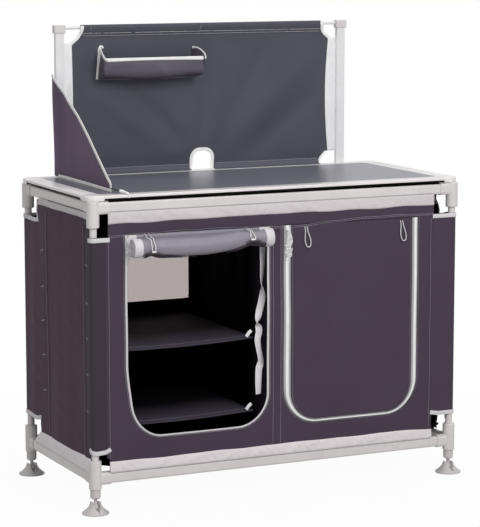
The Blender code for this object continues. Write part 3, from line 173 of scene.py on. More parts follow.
class Finish:
    """A small helper that lays out one procedural material."""

    def __init__(self, name, colour, roughness, metallic=0.0):
        self.material = bpy.data.materials.new(name)
        self.material.use_nodes = True
        self.tree = self.material.node_tree
        self.shader = self.tree.nodes["Principled BSDF"]
        self.shader.inputs["Roughness"].default_value = roughness
        self.shader.inputs["Metallic"].default_value = metallic
        self.shader.inputs["Base Color"].default_value = (*colour, 1)
        self.material.diffuse_color = (*colour, 1)

    def node(self, kind, **values):
        made = self.tree.nodes.new(kind)
        for key, value in values.items():
            if key in made.inputs:
                made.inputs[key].default_value = value
            else:
                setattr(made, key, value)
        return made

    def join(self, source, target, key):
        self.tree.links.new(source, target.inputs[key])

    def places(self, on_cloth):
        """Metres on the cloth from its own map, or metres in the object."""
        if on_cloth:
            return self.node("ShaderNodeUVMap", uv_map="Metres").outputs["UV"]
        return self.node("ShaderNodeTexCoord").outputs["Object"]

    def noise(self, places, scale, detail=2.0, roughness=0.5, stretch=None):
        if stretch:
            mapping = self.node("ShaderNodeMapping", Scale=stretch)
            self.join(places, mapping, "Vector")
            places = mapping.outputs["Vector"]
        made = self.node("ShaderNodeTexNoise", Scale=scale, Detail=detail, Roughness=roughness)
        self.join(places, made, "Vector")
        return made.outputs["Fac"]

    def bands(self, places, pitch, direction, distortion=0.0):
        """Soft stripes and gaps, each as wide as a pitch in metres."""
        scale = WAVE_SPAN / (2 * pitch)
        made = self.node("ShaderNodeTexWave", bands_direction=direction, Scale=scale, Distortion=distortion)
        self.join(places, made, "Vector")
        return made.outputs["Fac"]

    def sums(self, operation, first, second):
        """Result of a sum of two shares, or of a share and a number."""
        made = self.node("ShaderNodeMath", operation=operation)
        for key, value in enumerate((first, second)):
            if isinstance(value, (int, float)):
                made.inputs[key].default_value = value
            else:
                self.join(value, made, key)
        return made.outputs["Value"]

    def shade(self, share, stops):
        """Base colour from a share: stops are (place, colour)."""
        ramp = self.node("ShaderNodeValToRGB")
        ramp.color_ramp.elements[0].position = stops[0][0]
        ramp.color_ramp.elements[0].color = (*stops[0][1], 1)
        ramp.color_ramp.elements[1].position = stops[-1][0]
        ramp.color_ramp.elements[1].color = (*stops[-1][1], 1)
        for place, colour in stops[1:-1]:
            ramp.color_ramp.elements.new(place).color = (*colour, 1)
        self.join(share, ramp, "Fac")
        self.join(ramp.outputs["Color"], self.shader, "Base Color")

    def spanned(self, share, low, high):
        """A share stretched to run from low to high."""
        span = self.node("ShaderNodeMapRange", **{"To Min": low, "To Max": high})
        self.join(share, span, "Value")
        return span.outputs["Result"]

    def polish(self, share, low, high):
        """Roughness that follows a share."""
        self.join(self.spanned(share, low, high), self.shader, "Roughness")

    def relief(self, *layers):
        """Bump from (share, strength, distance) layers, the coarse one first."""
        normal = None
        for share, strength, distance in layers:
            bump = self.node("ShaderNodeBump", Strength=strength, Distance=distance)
            self.join(share, bump, "Height")
            if normal is not None:
                self.join(normal, bump, "Normal")
            normal = bump.outputs["Normal"]
        self.join(normal, self.shader, "Normal")


def tint(colour, factor):
    """A colour times a factor, held to 1."""
    return tuple(min(1.0, c * factor) for c in colour)


def shades(colour, dark, light, places=(0.3, 0.55, 0.8)):
    """Stops for a colour that goes from a darker tint to a lighter one."""
    return tuple(zip(places, (tint(colour, dark), colour, tint(colour, light))))


def cloth_finish(name, colour, roughness=0.72, sheen=0.1, thread=0.0011, contrast=0.16, gloss=0.2):
    """Coated polyester: a plain weave of two crossing sets of threads, slubs and uneven dye."""
    made = Finish(name, colour, roughness)
    uv = made.places(True)
    warp = made.bands(uv, thread, "X", 0.3)
    weft = made.bands(uv, thread, "Y", 0.3)
    weave = made.sums("MULTIPLY", made.sums("ADD", warp, weft), 0.5)
    slub = made.noise(uv, 260, 2, 0.6, (1.0, 0.25, 1.0))
    dye = made.noise(uv, 7, 3, 0.55)
    mix = made.sums("ADD", made.sums("MULTIPLY", weave, 0.35), made.sums("MULTIPLY", slub, 0.25))
    mix = made.sums("ADD", mix, made.sums("MULTIPLY", dye, 0.4))
    made.shade(mix, shades(colour, 1 - contrast, 1 + contrast, (0.3, 0.55, 0.78)))
    made.polish(slub, roughness - 0.06, roughness + 0.06)
    made.relief((weave, 0.25, thread * 0.25), (slub, 0.2, thread * 0.2))
    made.shader.inputs["Specular IOR Level"].default_value = gloss
    made.shader.inputs["Sheen Weight"].default_value = sheen
    made.shader.inputs["Sheen Roughness"].default_value = 0.45
    made.shader.inputs["Sheen Tint"].default_value = (*tint(colour, 3.5), 1)
    return made.material


def painted_depth_shade(material, depth, axis="Y"):
    """The same cloth with painted light and shade: a little lighter at the front edge and darker with the
    depth inside, where less light reaches.
    """
    tree = material.node_tree
    shader = tree.nodes["Principled BSDF"]
    colour = shader.inputs["Base Color"].links[0].from_socket
    place, split, span, mix = (
        tree.nodes.new("ShaderNode" + kind) for kind in ("UVMap", "SeparateXYZ", "MapRange", "Mix")
    )
    place.uv_map = "Metres"
    mix.data_type = "RGBA"
    mix.blend_type = "MULTIPLY"
    mix.inputs[0].default_value = 1.0
    for key, value in (("From Min", 0.02), ("From Max", depth), ("To Min", 1.2), ("To Max", 0.02)):
        span.inputs[key].default_value = value
    tree.links.new(place.outputs["UV"], split.inputs["Vector"])
    tree.links.new(split.outputs[axis], span.inputs["Value"])
    tree.links.new(colour, mix.inputs[6])
    tree.links.new(span.outputs["Result"], mix.inputs[7])
    tree.links.new(mix.outputs[2], shader.inputs["Base Color"])
    return material


def tape_finish(name, colour, rib=0.0016, roughness=0.8):
    """Woven tape: ribs across its length with a fine herringbone and small soiling."""
    made = Finish(name, colour, roughness)
    uv = made.places(True)
    ribs = made.bands(uv, rib, "Y", 0.6)
    slant = made.bands(uv, rib, "DIAGONAL", 0.4)
    dirt = made.noise(uv, 24, 4, 0.6)
    mix = made.sums("ADD", made.sums("MULTIPLY", ribs, 0.25), made.sums("MULTIPLY", slant, 0.2))
    mix = made.sums("ADD", mix, made.sums("MULTIPLY", dirt, 0.6))
    made.shade(mix, shades(colour, 0.86, 1.07, (0.25, 0.55, 0.85)))
    made.relief((ribs, 0.5, rib * 0.25), (slant, 0.3, rib * 0.15))
    made.shader.inputs["Sheen Weight"].default_value = 0.15
    return made.material


def coat_finish(name, colour, roughness=0.38, metallic=0.0, grain=900.0, depth=0.00006):
    """Powder coat or moulded plastic: fine orange peel, faint clouding and worn gloss."""
    made = Finish(name, colour, roughness, metallic)
    place = made.places(False)
    peel = made.noise(place, grain, 2, 0.5)
    cloud = made.noise(place, 14, 3, 0.6)
    made.shade(cloud, shades(colour, 0.94, 1.05))
    made.polish(cloud, roughness - 0.05, roughness + 0.08)
    made.relief((peel, 0.35, depth))
    return made.material


def board_finish(name, colour, roughness=0.32):
    """Satin laminate: fine pebble, rubbed patches and a gloss that mirrors at a low angle."""
    made = Finish(name, colour, roughness)
    place = made.places(False)
    pebble = made.noise(place, 520, 2, 0.5)
    rub = made.noise(place, 9, 4, 0.6)
    made.shade(rub, shades(colour, 0.92, 1.08))
    made.polish(rub, roughness - 0.03, roughness + 0.06)
    made.relief((pebble, 0.1, 0.00004))
    return made.material


def net_finish(name, colour):
    """Fine net: two crossing sets of threads with open holes in a square lattice between them."""
    made = Finish(name, colour, 0.85)
    uv = made.places(True)
    across = made.bands(uv, 0.0018, "X")
    down = made.bands(uv, 0.0018, "Y")
    threads = made.sums("MULTIPLY", across, down)
    made.shade(threads, shades(colour, 0.85, 1.1, (0.15, 0.55, 0.95)))
    made.relief((threads, 0.4, 0.0003))
    clear = made.node("ShaderNodeBsdfTransparent", Color=(1.0, 0.932, 0.93, 1))
    mix = made.node("ShaderNodeMixShader")
    made.join(made.spanned(threads, 0.62, 0.7), mix, 0)
    made.join(made.shader.outputs[0], mix, 1)
    made.join(clear.outputs[0], mix, 2)
    made.join(mix.outputs[0], made.tree.nodes["Material Output"], "Surface")
    return made.material


def make_finishes(colours):
    """Every finish of the cupboard, by name."""
    return {
        "tube": coat_finish("Powder coated tube", colours.tube, 0.34),
        "post": coat_finish("Post coat", colours.post, 0.34),
        "plastic": coat_finish("Moulded plastic", colours.plastic, 0.42, 0.0, 1400.0, 0.00005),
        "rim": coat_finish("Rim extrusion", colours.rim, 0.3, 0.0, 1100.0, 0.00004),
        "pad": coat_finish("Foot plastic", colours.pad, 0.45, 0.0, 1400.0, 0.00005),
        "zip": coat_finish("Zip metal", (0.4, 0.39, 0.4), 0.35, 0.8, 600.0, 0.00003),
        # Dark plastic of the zip coil and toggles; on the rim's underside it is painted shade
        "dark": coat_finish("Dark plastic", (0.02, 0.02, 0.022), 0.4),
        "board": board_finish("Worktop laminate", colours.board),
        "cloth": cloth_finish("Cabinet cloth", colours.cloth),
        # The side walls' cloth is set a little darker and redder than the cabinet cloth: partly painted shade
        # for walls turned from the lamps
        "side": cloth_finish("Side cloth", colours.side, 0.75),
        "strip": cloth_finish("Leg strip cloth", colours.strip, 0.7),
        "wing": cloth_finish("Wing cloth", tint(colours.cloth, 1.85), 0.66, 0.14),
        "lining": cloth_finish("Door lining", colours.lining, 0.5, 0.15, 0.0009, 0.1, 0.5),
        "pocket": cloth_finish("Pocket cloth", colours.pocket, 0.6, 0.12, 0.001, 0.14, 0.3),
        "screen": cloth_finish("Windscreen cloth", colours.screen, 0.62, 0.12, 0.001, 0.1, 0.3),
        "foot": cloth_finish("Windscreen hem", tint(colours.screen, 1.4), 0.62, 0.12, 0.001, 0.1, 0.3),
        "hem": cloth_finish("Shelf hem", tint(colours.shelf, 0.8), 0.7),
        # Shelves and divider: painted shade that darkens them with the depth inside
        "shelf": painted_depth_shade(cloth_finish("Shelf cloth", colours.shelf, 0.7, 0.04, 0.0012, 0.14, 0.1), 0.19, "Y"),
        # The divider is the inside cloth thirty times lighter, darkened with the depth as painted shade
        "divider": painted_depth_shade(
            cloth_finish("Divider cloth", tint(colours.inside, 30), 0.9, 0, 0.0012, 0.2, 0.05),
            0.15, "X",
        ),
        # Inside: near-black cloth, painted shade for the dim inside of the cupboard on the walls' inner faces
        # and the floor
        "inside": cloth_finish("Inner cloth", colours.inside, 0.9, 0.0, 0.0012, 0.2, 0.05),
        # The sleeves' pale cloth in three lit and shaded copies: darker for the upper bands, lighter for the
        # front's lower band and lightest for the other lower bands; painted shade and painted light
        **{
            f"band_{place}": cloth_finish(
                f"{place.capitalize()} sleeve cloth", tint(colours.band, factor), 0.7, 0.1, 0.0012, 0.06
            )
            for place, factor in (("upper", 0.86), ("lower", 1.06), ("side", 1.25))
        },
        "tape": tape_finish("Binding tape", colours.tape),
        # A darker copy of the binding tape for the edges of the right zip band: painted shade beside its
        # raised white middle
        "painted_shade_margin": tape_finish("Zip tape margin", tint(colours.tape, 0.62)),
        "white": tape_finish("Lacing tape", colours.white),
        "strap": tape_finish("Webbing strap", colours.strap, 0.0022),
        "thread": tape_finish("Sewing thread", colours.thread, 0.0006),
        "black": tape_finish("Black elastic", (0.012, 0.012, 0.013), 0.0012, 0.7),
        "net": net_finish("Window net", colours.net),
    }


FINISHES = {}

# Slot of a new piece by its finish
SLOTS = {
    **dict.fromkeys(("rim", "plastic", "dark"), "plastic"),
    **dict.fromkeys(("cloth", "side", "strip", "wing"), "cloth"),
    **dict.fromkeys(("pocket", "screen", "foot"), "screen_cloth"),
    **dict.fromkeys(("hem", "shelf", "divider", "inside"), "inner_cloth"),
    "lining": "grey_cloth",
    "black": "elastic",
    "net": "mesh",
}

# Starts of the names of the solids that show, by finish; the first that fits is taken
SOLIDS = {
    "tube": ("leg_", "upper_rail", "lower_rail"),
    "plastic": ("upper_corner", "lower_corner", "post_cap"),
    "pad": ("foot_",),
    "post": ("post_", "top_bar"),
    "board": ("worktop_panel",),
    "zip": ("left_zip_slider", "right_zip_slider"),
}


# Mesh helpers


def steps(marks, size):
    """Places through all marks, with even gaps of at most a size between them."""
    runs = [
        np.linspace(a, b, max(1, math.ceil(round((b - a) / size, 6))) + 1)[:-1]
        for a, b in zip(marks, marks[1:])
    ]
    return np.concatenate([*runs, [marks[-1]]])


def lengths(points):
    """Distance along each polyline of an array whose second last axis runs along it."""
    gaps = np.linalg.norm(np.diff(points, axis=-2), axis=-1)
    return np.concatenate([np.zeros(gaps.shape[:-1] + (1,)), np.cumsum(gaps, axis=-1)], axis=-1)


def mesh_of(name, verts, quads, uvs, weld=False):
    """A mesh from points (leg frame), quads and the quads' corners in metres on the cloth."""
    used, quads_flat = np.unique(quads, return_inverse=True)
    data = bpy.data.meshes.new(name)
    placed = np.asarray(verts, np.float32)[used] + np.array((0, SHIFT, 0), np.float32)
    data.vertices.add(len(placed))
    data.vertices.foreach_set("co", placed.ravel())
    data.loops.add(quads.size)
    data.loops.foreach_set("vertex_index", quads_flat.astype(np.int32).ravel())
    data.polygons.add(len(quads))
    data.polygons.foreach_set("loop_start", np.arange(0, quads.size, 4, dtype=np.int32))
    data.polygons.foreach_set("use_smooth", np.ones(len(quads), bool))
    layer = data.uv_layers.new(name="Metres")
    layer.uv.foreach_set("vector", np.ascontiguousarray(uvs, np.float32).ravel())
    data.update(calc_edges=True)
    if weld:
        form = bmesh.new()
        form.from_mesh(data)
        bmesh.ops.remove_doubles(form, verts=form.verts, dist=1e-6)
        bmesh.ops.recalc_face_normals(form, faces=form.faces)
        form.to_mesh(data)
        form.free()
    data.validate()
    return data


def lattice(points, around=False, keep=None, uv=None):
    """Quads and their map over grids of points (grids, rows, columns, 3), the columns closed or not."""
    grids, rows, cols = points.shape[:3]
    wide = cols if around else cols - 1
    g, j, i = (
        part.ravel()
        for part in np.meshgrid(np.arange(grids), np.arange(rows - 1), np.arange(wide), indexing="ij")
    )
    if keep is not None:
        kept = keep.ravel()
        g, j, i = g[kept], j[kept], i[kept]
    base = g * rows * cols
    other = (i + 1) % cols
    quads = [base + j * cols + i, base + j * cols + other]
    quads += [base + (j + 1) * cols + other, base + (j + 1) * cols + i]
    if uv is None:
        ring = np.concatenate([points, points[:, :, :1]], 2) if around else points
        u = np.broadcast_to(lengths(ring).max(axis=1)[:, None], ring.shape[:3])
        v = np.broadcast_to(lengths(ring.swapaxes(1, 2)).max(axis=1)[:, :, None], ring.shape[:3])
        uv = np.stack([u, v], -1)
    corners = [uv[g, j, i], uv[g, j, i + 1], uv[g, j + 1, i + 1], uv[g, j + 1, i]]
    return np.stack(quads, 1), np.stack(corners, 1)


def linked(name, data):
    """A new object in the scene."""
    thing = bpy.data.objects.new(name, data)
    bpy.context.collection.objects.link(thing)
    return thing


def add_piece(
    data, finish, body="frame", slot=None, replaces=(), crisp=None, thick=None, other=None, inner=None
):
    """One finished piece: mesh, finish, body it moves with and solids it stands for.

    A second finish may be given as other, for the faces that the mesh marks with index 1,
    and one as inner, for the inner side of a piece with a thickness.
    """
    thing = linked(data.name, data)
    data.materials.append(FINISHES[finish])
    if other:
        data.materials.append(FINISHES[other])
    if inner:
        for _ in range(len(data.materials)):
            data.materials.append(FINISHES[inner])
    if crisp:
        data.set_sharp_from_angle(angle=math.radians(crisp))
    if thick:
        solid = thing.modifiers.new("Cloth thickness", "SOLIDIFY")
        solid.thickness = thick
        solid.offset = -1
        if inner:
            solid.material_offset = len(data.materials) // 2
    if body:
        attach(thing, body)
    if replaces:
        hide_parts(*replaces)
    return thing


def surface(name, points, around=False, keep=None, weld=False, flip=False, uv=None, marked=None):
    """A mesh over one grid (rows, columns, 3) or many, its faces turned over if asked.

    Faces of the grid for which marked is true take the second finish.
    """
    points = np.asarray(points, float)
    if points.ndim == 3:
        points = points[None]
    if uv is not None:
        uv = np.asarray(uv, float)[None]
    quads, uvs = lattice(points, around, keep, uv)
    if flip:
        quads, uvs = quads[:, ::-1], uvs[:, ::-1]
    data = mesh_of(name, points.reshape(-1, 3), quads, uvs, weld)
    if marked is not None:
        chosen = marked.ravel() if keep is None else marked.ravel()[keep.ravel()]
        data.polygons.foreach_set("material_index", chosen.astype(np.int32))
    return data


def declare_sheet(thing):
    """Read a piece's map in metres and the areas of its faces."""
    layer = thing.data.uv_layers["Metres"].uv
    spots = np.empty(len(layer) * 2, np.float32)
    layer.foreach_get("vector", spots)
    areas = np.empty(len(thing.data.polygons), np.float32)
    thing.data.polygons.foreach_get("area", areas)


def add_sheet(data, finish, thick, held, rests_on, **options):
    """A finished piece with a thickness, whose map and face areas are read."""
    thing = add_piece(data, finish, thick=thick, **options)
    declare_sheet(thing)
    return thing


def face_corners(marks):
    """The marks at the four corners of each face of a grid."""
    return np.stack([marks[:-1, :-1], marks[:-1, 1:], marks[1:, 1:], marks[1:, :-1]])


def unit(vectors):
    """The same directions with a length of 1."""
    size = np.linalg.norm(vectors, axis=-1, keepdims=True)
    return vectors / np.maximum(size, 1e-12)


def along_path(path):
    """Unit directions along a path of points."""
    return unit(np.gradient(path, axis=0))


def swept(path, out, profile, scale=None):
    """A closed profile (across, out) carried along a path; out is the way that profiles stand up in.

    Each ring is the profile set across the path, times its scale, and both ends are drawn
    together to a point.
    """
    path = np.asarray(path, float)
    ahead = along_path(path)
    out = np.broadcast_to(np.asarray(out, float), path.shape)
    out = unit(out - (out * ahead).sum(1, keepdims=True) * ahead)
    side = np.cross(ahead, out)
    profile = np.asarray(profile, float)
    size = np.ones(len(path)) if scale is None else scale
    a = profile[None, :, :1] * size[:, None, None]
    b = profile[None, :, 1:] * size[:, None, None]
    rings = path[:, None] + side[:, None] * a + out[:, None] * b
    centres = rings.mean(axis=1, keepdims=True)
    ends = np.broadcast_to(centres, rings.shape)
    return np.concatenate([ends[:1], rings, ends[-1:]])


def sweep(name, path, out, profile, scale=None):
    """A bar, tape or cord mesh with closed ends."""
    return surface(name, swept(path, out, profile, scale), around=True, weld=True)


def add_sweep(name, path, out, profile, finish, body="frame", scale=None, **options):
    """A finished bar or tape: a profile carried along a path, with crisp edges."""
    return add_piece(sweep(name, path, out, profile, scale), finish, body, crisp=50, **options)


def add_joined(name, grids, finish, body="frame", **options):
    """One finished piece from several closed grids of the same size."""
    return add_piece(surface(name, np.stack(grids), around=True, weld=True), finish, body, **options)


def round_profile(diameter, sides=12):
    """A circle."""
    turn = np.linspace(0, 2 * np.pi, sides, endpoint=False)
    return np.stack([np.cos(turn), np.sin(turn)], 1) * diameter / 2


def tape_profile(width, height, sides=16, power=0.55):
    """A flat tape with soft edges: a circle flattened by raising its sines and cosines to a power."""
    turn = np.linspace(0, 2 * np.pi, sides, endpoint=False) + np.pi / sides
    c, s = np.cos(turn), np.sin(turn)
    a = np.sign(c) * np.abs(c) ** power * width / 2
    b = np.sign(s) * np.abs(s) ** power * height / 2
    return np.stack([a, b], 1)


def resampled(path, size):
    """The same path with even steps of about a size; columns past the third go along with it."""
    path = np.asarray(path, float)
    far = lengths(path[:, :3])
    count = max(2, int(round(far[-1] / size)) + 1)
    spots = np.linspace(0, far[-1], count)
    return np.stack([np.interp(spots, far, column) for column in path.T], 1)


def stitch_grids(path, out, pitch, length, width=0.001, height=0.0007):
    """Thread dashes along a path: each is a flattened spindle of four sides on the cloth."""
    path = np.asarray(path, float)
    both = resampled(np.hstack([path, np.broadcast_to(np.asarray(out, float), path.shape)]), pitch)
    path, out = both[:, :3], both[:, 3:]
    ahead = along_path(path)
    out = unit(out - (out * ahead).sum(1, keepdims=True) * ahead)
    side = np.cross(ahead, out)
    share = np.array((-0.5, -0.34, 0.34, 0.5))
    girth = np.array((0.0, 1.0, 1.0, 0.0))
    round_it = np.array(((1, 0), (0, 1), (-1, 0), (0, -1))) / 2
    centre = path + out * 0.0002
    return (
        centre[:, None, None]
        + ahead[:, None, None] * (share * length)[None, :, None, None]
        + side[:, None, None] * (girth[:, None] * round_it[:, 0] * width)[None, ..., None]
        + out[:, None, None] * (girth[:, None] * round_it[:, 1] * height)[None, ..., None]
    )


def stitches(name, lines, body="frame", finish="thread", **girth):
    """One piece from several lines of stitches, each a (path, out) pair."""
    pitch, length = sizes().stitch_pitch, sizes().stitch_length
    grids = [stitch_grids(path, out, pitch, length, **girth) for path, out in lines]
    return add_joined(name, np.concatenate(grids), finish, body)


def ripple(a, b, seed, size, waves=8):
    """Smooth unevenness of a sheet: the sum of a few sine waves of seeded directions and lengths."""
    draw = np.random.RandomState(seed)
    total = np.zeros(np.broadcast(a, b).shape)
    for _ in range(waves):
        turn, start, span = draw.uniform(0, 2 * np.pi, 2).tolist() + [size * draw.uniform(0.6, 1.7)]
        total = total + np.sin(2 * np.pi * (a * np.cos(turn) + b * np.sin(turn)) / span + start)
    return total / math.sqrt(waves)


def crease(a, b, start, end, width, height):
    """A fold along a line: a bell across it that fades in and out along it."""
    (a0, b0), (a1, b1) = start, end
    run = math.hypot(a1 - a0, b1 - b0)
    along = ((a - a0) * (a1 - a0) + (b - b0) * (b1 - b0)) / run**2
    across = ((a - a0) * (b1 - b0) - (b - b0) * (a1 - a0)) / run
    return height * np.exp(-((across / width) ** 2)) * np.sin(np.pi * np.clip(along, 0, 1)) ** 0.7


def ease(x, low, high):
    """A smooth rise from 0 at low to 1 at high."""
    t = np.clip((x - low) / (high - low), 0, 1)
    return t * t * (3 - 2 * t)


def smooth_route(points, count):
    """Points at even shares of a smooth curve through a few chosen ones.

    Between two chosen points the curve is a cubic whose slope at each is half the step
    between its neighbours.
    """
    knots = np.array(points)
    padded = np.vstack([2 * knots[0] - knots[1], knots, 2 * knots[-1] - knots[-2]])
    place = np.linspace(0, len(knots) - 1, count)
    k = np.minimum(place.astype(int), len(knots) - 2)
    t = (place - k)[:, None]
    a, b, c, d = (padded[k + shift] for shift in range(4))
    curve = 2 * b + (c - a) * t + (2 * a - 5 * b + 4 * c - d) * t**2
    return (curve + (3 * b - a - 3 * c + d) * t**3) / 2


def arc_points(x, y, radius, start, end, count=10):
    """Points at even turns of an arc, in degrees."""
    turn = np.radians(np.linspace(start, end, count + 1))
    return np.stack([x + radius * np.cos(turn), y + radius * np.sin(turn)], 1)


# Cabinet cloth


class Wall:
    """One cloth wall: its line in plan, its outward side and how far it stands out."""

    def __init__(self, points, start, outward, relief):
        self.line = np.vstack(points)
        self.far = lengths(self.line) + start
        self.outward = outward
        self.relief = relief

    def plan(self, u):
        """Place in plan at a distance along the wall's line."""
        return np.interp(u, self.far, self.line[:, 0]), np.interp(u, self.far, self.line[:, 1])

    def out(self, u):
        """Unit outward direction at a place along the wall."""
        near = 0.0008
        (ax, ay), (bx, by) = self.plan(u - near), self.plan(u + near)
        return unit(np.stack([by - ay, ax - bx, np.zeros_like(ax)], -1) * self.outward)

    def place(self, u, z, lift=0.0):
        """Points on the wall's outer face, or a little in front of it."""
        u, z, lift = np.broadcast_arrays(u, z, lift)
        x, y = self.plan(u)
        stand = self.relief(u, z) + lift
        return np.stack([x, y, z], -1) + self.out(u) * stand[..., None]


def taut(z):
    """Share of its slack that a wall has at a height: none at the rails."""
    return ease(z, WALL_LOW, WALL_LOW + 0.05) * (1 - ease(z, WALL_HIGH - 0.03, WALL_HIGH))


def front_relief(u, z):
    """Soft waves of the front, pulled flat at the legs and rails, with gathers under the upper rail."""
    free = 1 - ease(np.abs(u), 0.43, 0.49)
    waves = 0.001 * (1 + ripple(u, z, 3, 0.26)) * taut(z)
    pulls = 0.0014 * np.exp(-(((z - 0.722) / 0.022) ** 2)) * (1 + ripple(u, z * 0.4, 5, 0.11))
    return free * (waves + 0.5 * pulls)


def side_relief(seed):
    """Broad soft folds of a side wall that run mostly up and down."""

    def relief(u, z):
        free = ease(u, -0.2, -0.15) * (1 - ease(u, 0.16, LEG_Y - 0.01))
        belly = 0.0022 * np.sin(np.pi * np.clip((u + 0.2) / 0.43, 0, 1))
        waves = 0.0013 * (1 + ripple(u, z * 0.3, seed, 0.13))
        fine = 0.0004 * ripple(u, z, seed + 1, 0.05)
        return free * taut(z) * np.maximum(belly + waves + fine, 0)

    return relief


def rear_relief(u, z):
    """Broad soft waves of the rear wall, flat at its ends."""
    free = 1 - ease(np.abs(u), 0.4, 0.47)
    return free * taut(z) * 0.0014 * (1 + ripple(u, z, 11, 0.28))


FRONT = Wall(
    [
        (-FACE_X, -SIDE_SEAM),
        arc_points(-LEG_X, -LEG_Y, WRAP, 180, 270),
        arc_points(LEG_X, -LEG_Y, WRAP, 270, 360),
        (FACE_X, -SIDE_SEAM),
    ],
    -(LEG_X + QUARTER + LEG_Y - SIDE_SEAM),
    1,
    front_relief,
)
LEFT = Wall(
    [(-FACE_X, -SIDE_SEAM), arc_points(-LEG_X, LEG_Y, WRAP, 180, 90), (-REAR_SEAM, FACE_Y)],
    -SIDE_SEAM,
    -1,
    side_relief(21),
)
RIGHT = Wall(
    [(FACE_X, -SIDE_SEAM), arc_points(LEG_X, LEG_Y, WRAP, 0, 90), (REAR_SEAM, FACE_Y)],
    -SIDE_SEAM,
    1,
    side_relief(31),
)
REAR = Wall([(-REAR_SEAM, FACE_Y), (REAR_SEAM, FACE_Y)], -REAR_SEAM, -1, rear_relief)
FRONT_END = LEG_X + QUARTER + LEG_Y - SIDE_SEAM
SIDE_END = LEG_Y + QUARTER + LEG_X - REAR_SEAM


def hang(x, z, door):
    """How far the open doorway's lower left side hangs inwards; nothing at the other doorway."""
    return (door is LEFT_DOOR) * HANG * (1 - ease(z, 0.23, 0.38)) * ease(-x, 0.26, 0.4)


def rounded(across, along, radius):
    """Signed distance to a corner of a radius, from the distances past the corner's centre."""
    corner = np.hypot(np.maximum(across, 0), np.maximum(along, 0)) - radius
    return corner + np.minimum(np.maximum(across, along), 0)


def from_middle(x, low, high, radius):
    """Distance past the centres of the corners between two sides."""
    return np.abs(x - (low + high) / 2) - ((high - low) / 2 - radius)


def door_distance(x, z, door, top=DOOR_TOP):
    """Signed distance to a U-shaped doorway, negative inside it."""
    low, high, bottom, radius = door
    across = from_middle(x - hang(x, z, door), low, high, radius)
    return np.maximum(rounded(across, bottom + radius - z, radius), z - top)


def window_distance(x, z, grow=0.0):
    """Signed distance to the window's rounded opening, or to one that is larger all round."""
    low, high, bottom, top, radius = WINDOW
    across = from_middle(x, low, high, radius)
    return rounded(across, from_middle(z, bottom, top, radius), radius) - grow


def box_distance(u, z, low_u, high_u, low_z, high_z):
    """Rough signed distance to a box whose sides may be given for each height."""
    return np.maximum(np.maximum(low_u - u, u - high_u), np.maximum(low_z - z, z - high_z))


def notch_pair(u, z, low_u, high_u, lower_top):
    """Signed distances to the notches over and under the leg's strip, between two sides."""
    upper = box_distance(u, z, low_u, high_u, NOTCH_FLOOR, ABOVE_ALL)
    return [upper, box_distance(u, z, low_u, high_u, 0.0, lower_top)]


def right_edge(z):
    """The sloping edge of the right wall beside the front leg, read off the photograph."""
    high = np.interp(z, (0.695, 0.718, 0.729, 0.757), (-0.145, -0.136, -0.123, -0.133))
    low = np.interp(z, (0.095, 0.11, 0.125, 0.136, 0.169), (-0.166, -0.139, -0.146, -0.148, -0.15))
    return np.where(z > 0.4, high, low)


def front_holes(u, z):
    """Signed distance to the doorways and the notches of the front wall."""
    left, right = NOTCHES[-1, -1], NOTCHES[1, -1]
    holes = [door_distance(u, z, LEFT_DOOR), door_distance(u, z, RIGHT_DOOR)]
    holes += notch_pair(u, z, -LEG_X - QUARTER, -LEG_X + left[0], left[2])
    holes += notch_pair(u, z, LEG_X - right[0], BEYOND, right[2])
    return np.minimum.reduce(holes)


def left_holes(u, z):
    """Signed distance to the notches of the left wall; the upper one's side slopes."""
    notch = NOTCHES[-1, 1]
    edge = LEG_Y - notch[1]
    slope = 0.012 * (z - 0.7) / 0.05 * (z > 0.4)
    return np.minimum.reduce(notch_pair(u, z, edge + slope, BEYOND, notch[2]))


def right_holes(u, z):
    """Signed distance to the notches of the right wall; the upper front one's floor steps down."""
    edge = right_edge(z)
    floor = NOTCH_FLOOR - 0.01 * ease(u, -0.2, -0.15)
    holes = [
        box_distance(u, z, -BEYOND, edge, floor, ABOVE_ALL),
        box_distance(u, z, -BEYOND, edge, 0.0, NOTCHES[1, -1][2]),
    ]
    return np.minimum.reduce(holes + notch_pair(u, z, LEG_Y, BEYOND, NOTCHES[1, 1][2]))


def rear_holes(u, z):
    """Signed distance to the window and the left notches of the rear wall."""
    notch = NOTCHES[-1, 1]
    holes = notch_pair(u, z, -BEYOND, -LEG_X + notch[0], notch[2])
    return np.minimum.reduce([window_distance(u, z), *holes])


def cut_cloth(name, wall, u, z, holes, lift=0.0, strip=None):
    """A wall's grid with its holes cut: points near an outline are drawn onto it.

    Each point moves against the slope of the signed distance by that distance, twice over.
    """
    size = max(np.diff(u).max(), np.diff(z).max())
    a, b = np.meshgrid(u, z)
    step = 1e-4
    outside = -4e-4
    for _ in range(2):
        away = holes(a, b)
        slope_a = (holes(a + step, b) - holes(a - step, b)) / (2 * step)
        slope_b = (holes(a, b + step) - holes(a, b - step)) / (2 * step)
        near = np.abs(away) < 0.72 * size
        steep = np.maximum(slope_a**2 + slope_b**2, 0.5)
        a = a - np.where(near, away * slope_a / steep, 0)
        b = np.clip(b - np.where(near, away * slope_b / steep, 0), z[0], z[-1])
    away = holes(a, b)
    centre_a = (a[:-1, :-1] + a[1:, 1:]) / 2
    centre_b = (b[:-1, :-1] + b[1:, 1:]) / 2
    keep = (face_corners(away).min(0) > outside) & (holes(centre_a, centre_b) > 0)
    marked = None if strip is None else strip(centre_a)
    points = wall.place(a, b, lift)
    return surface(name, points, keep=keep, flip=wall.outward < 0, uv=np.stack([a, b], -1), marked=marked)


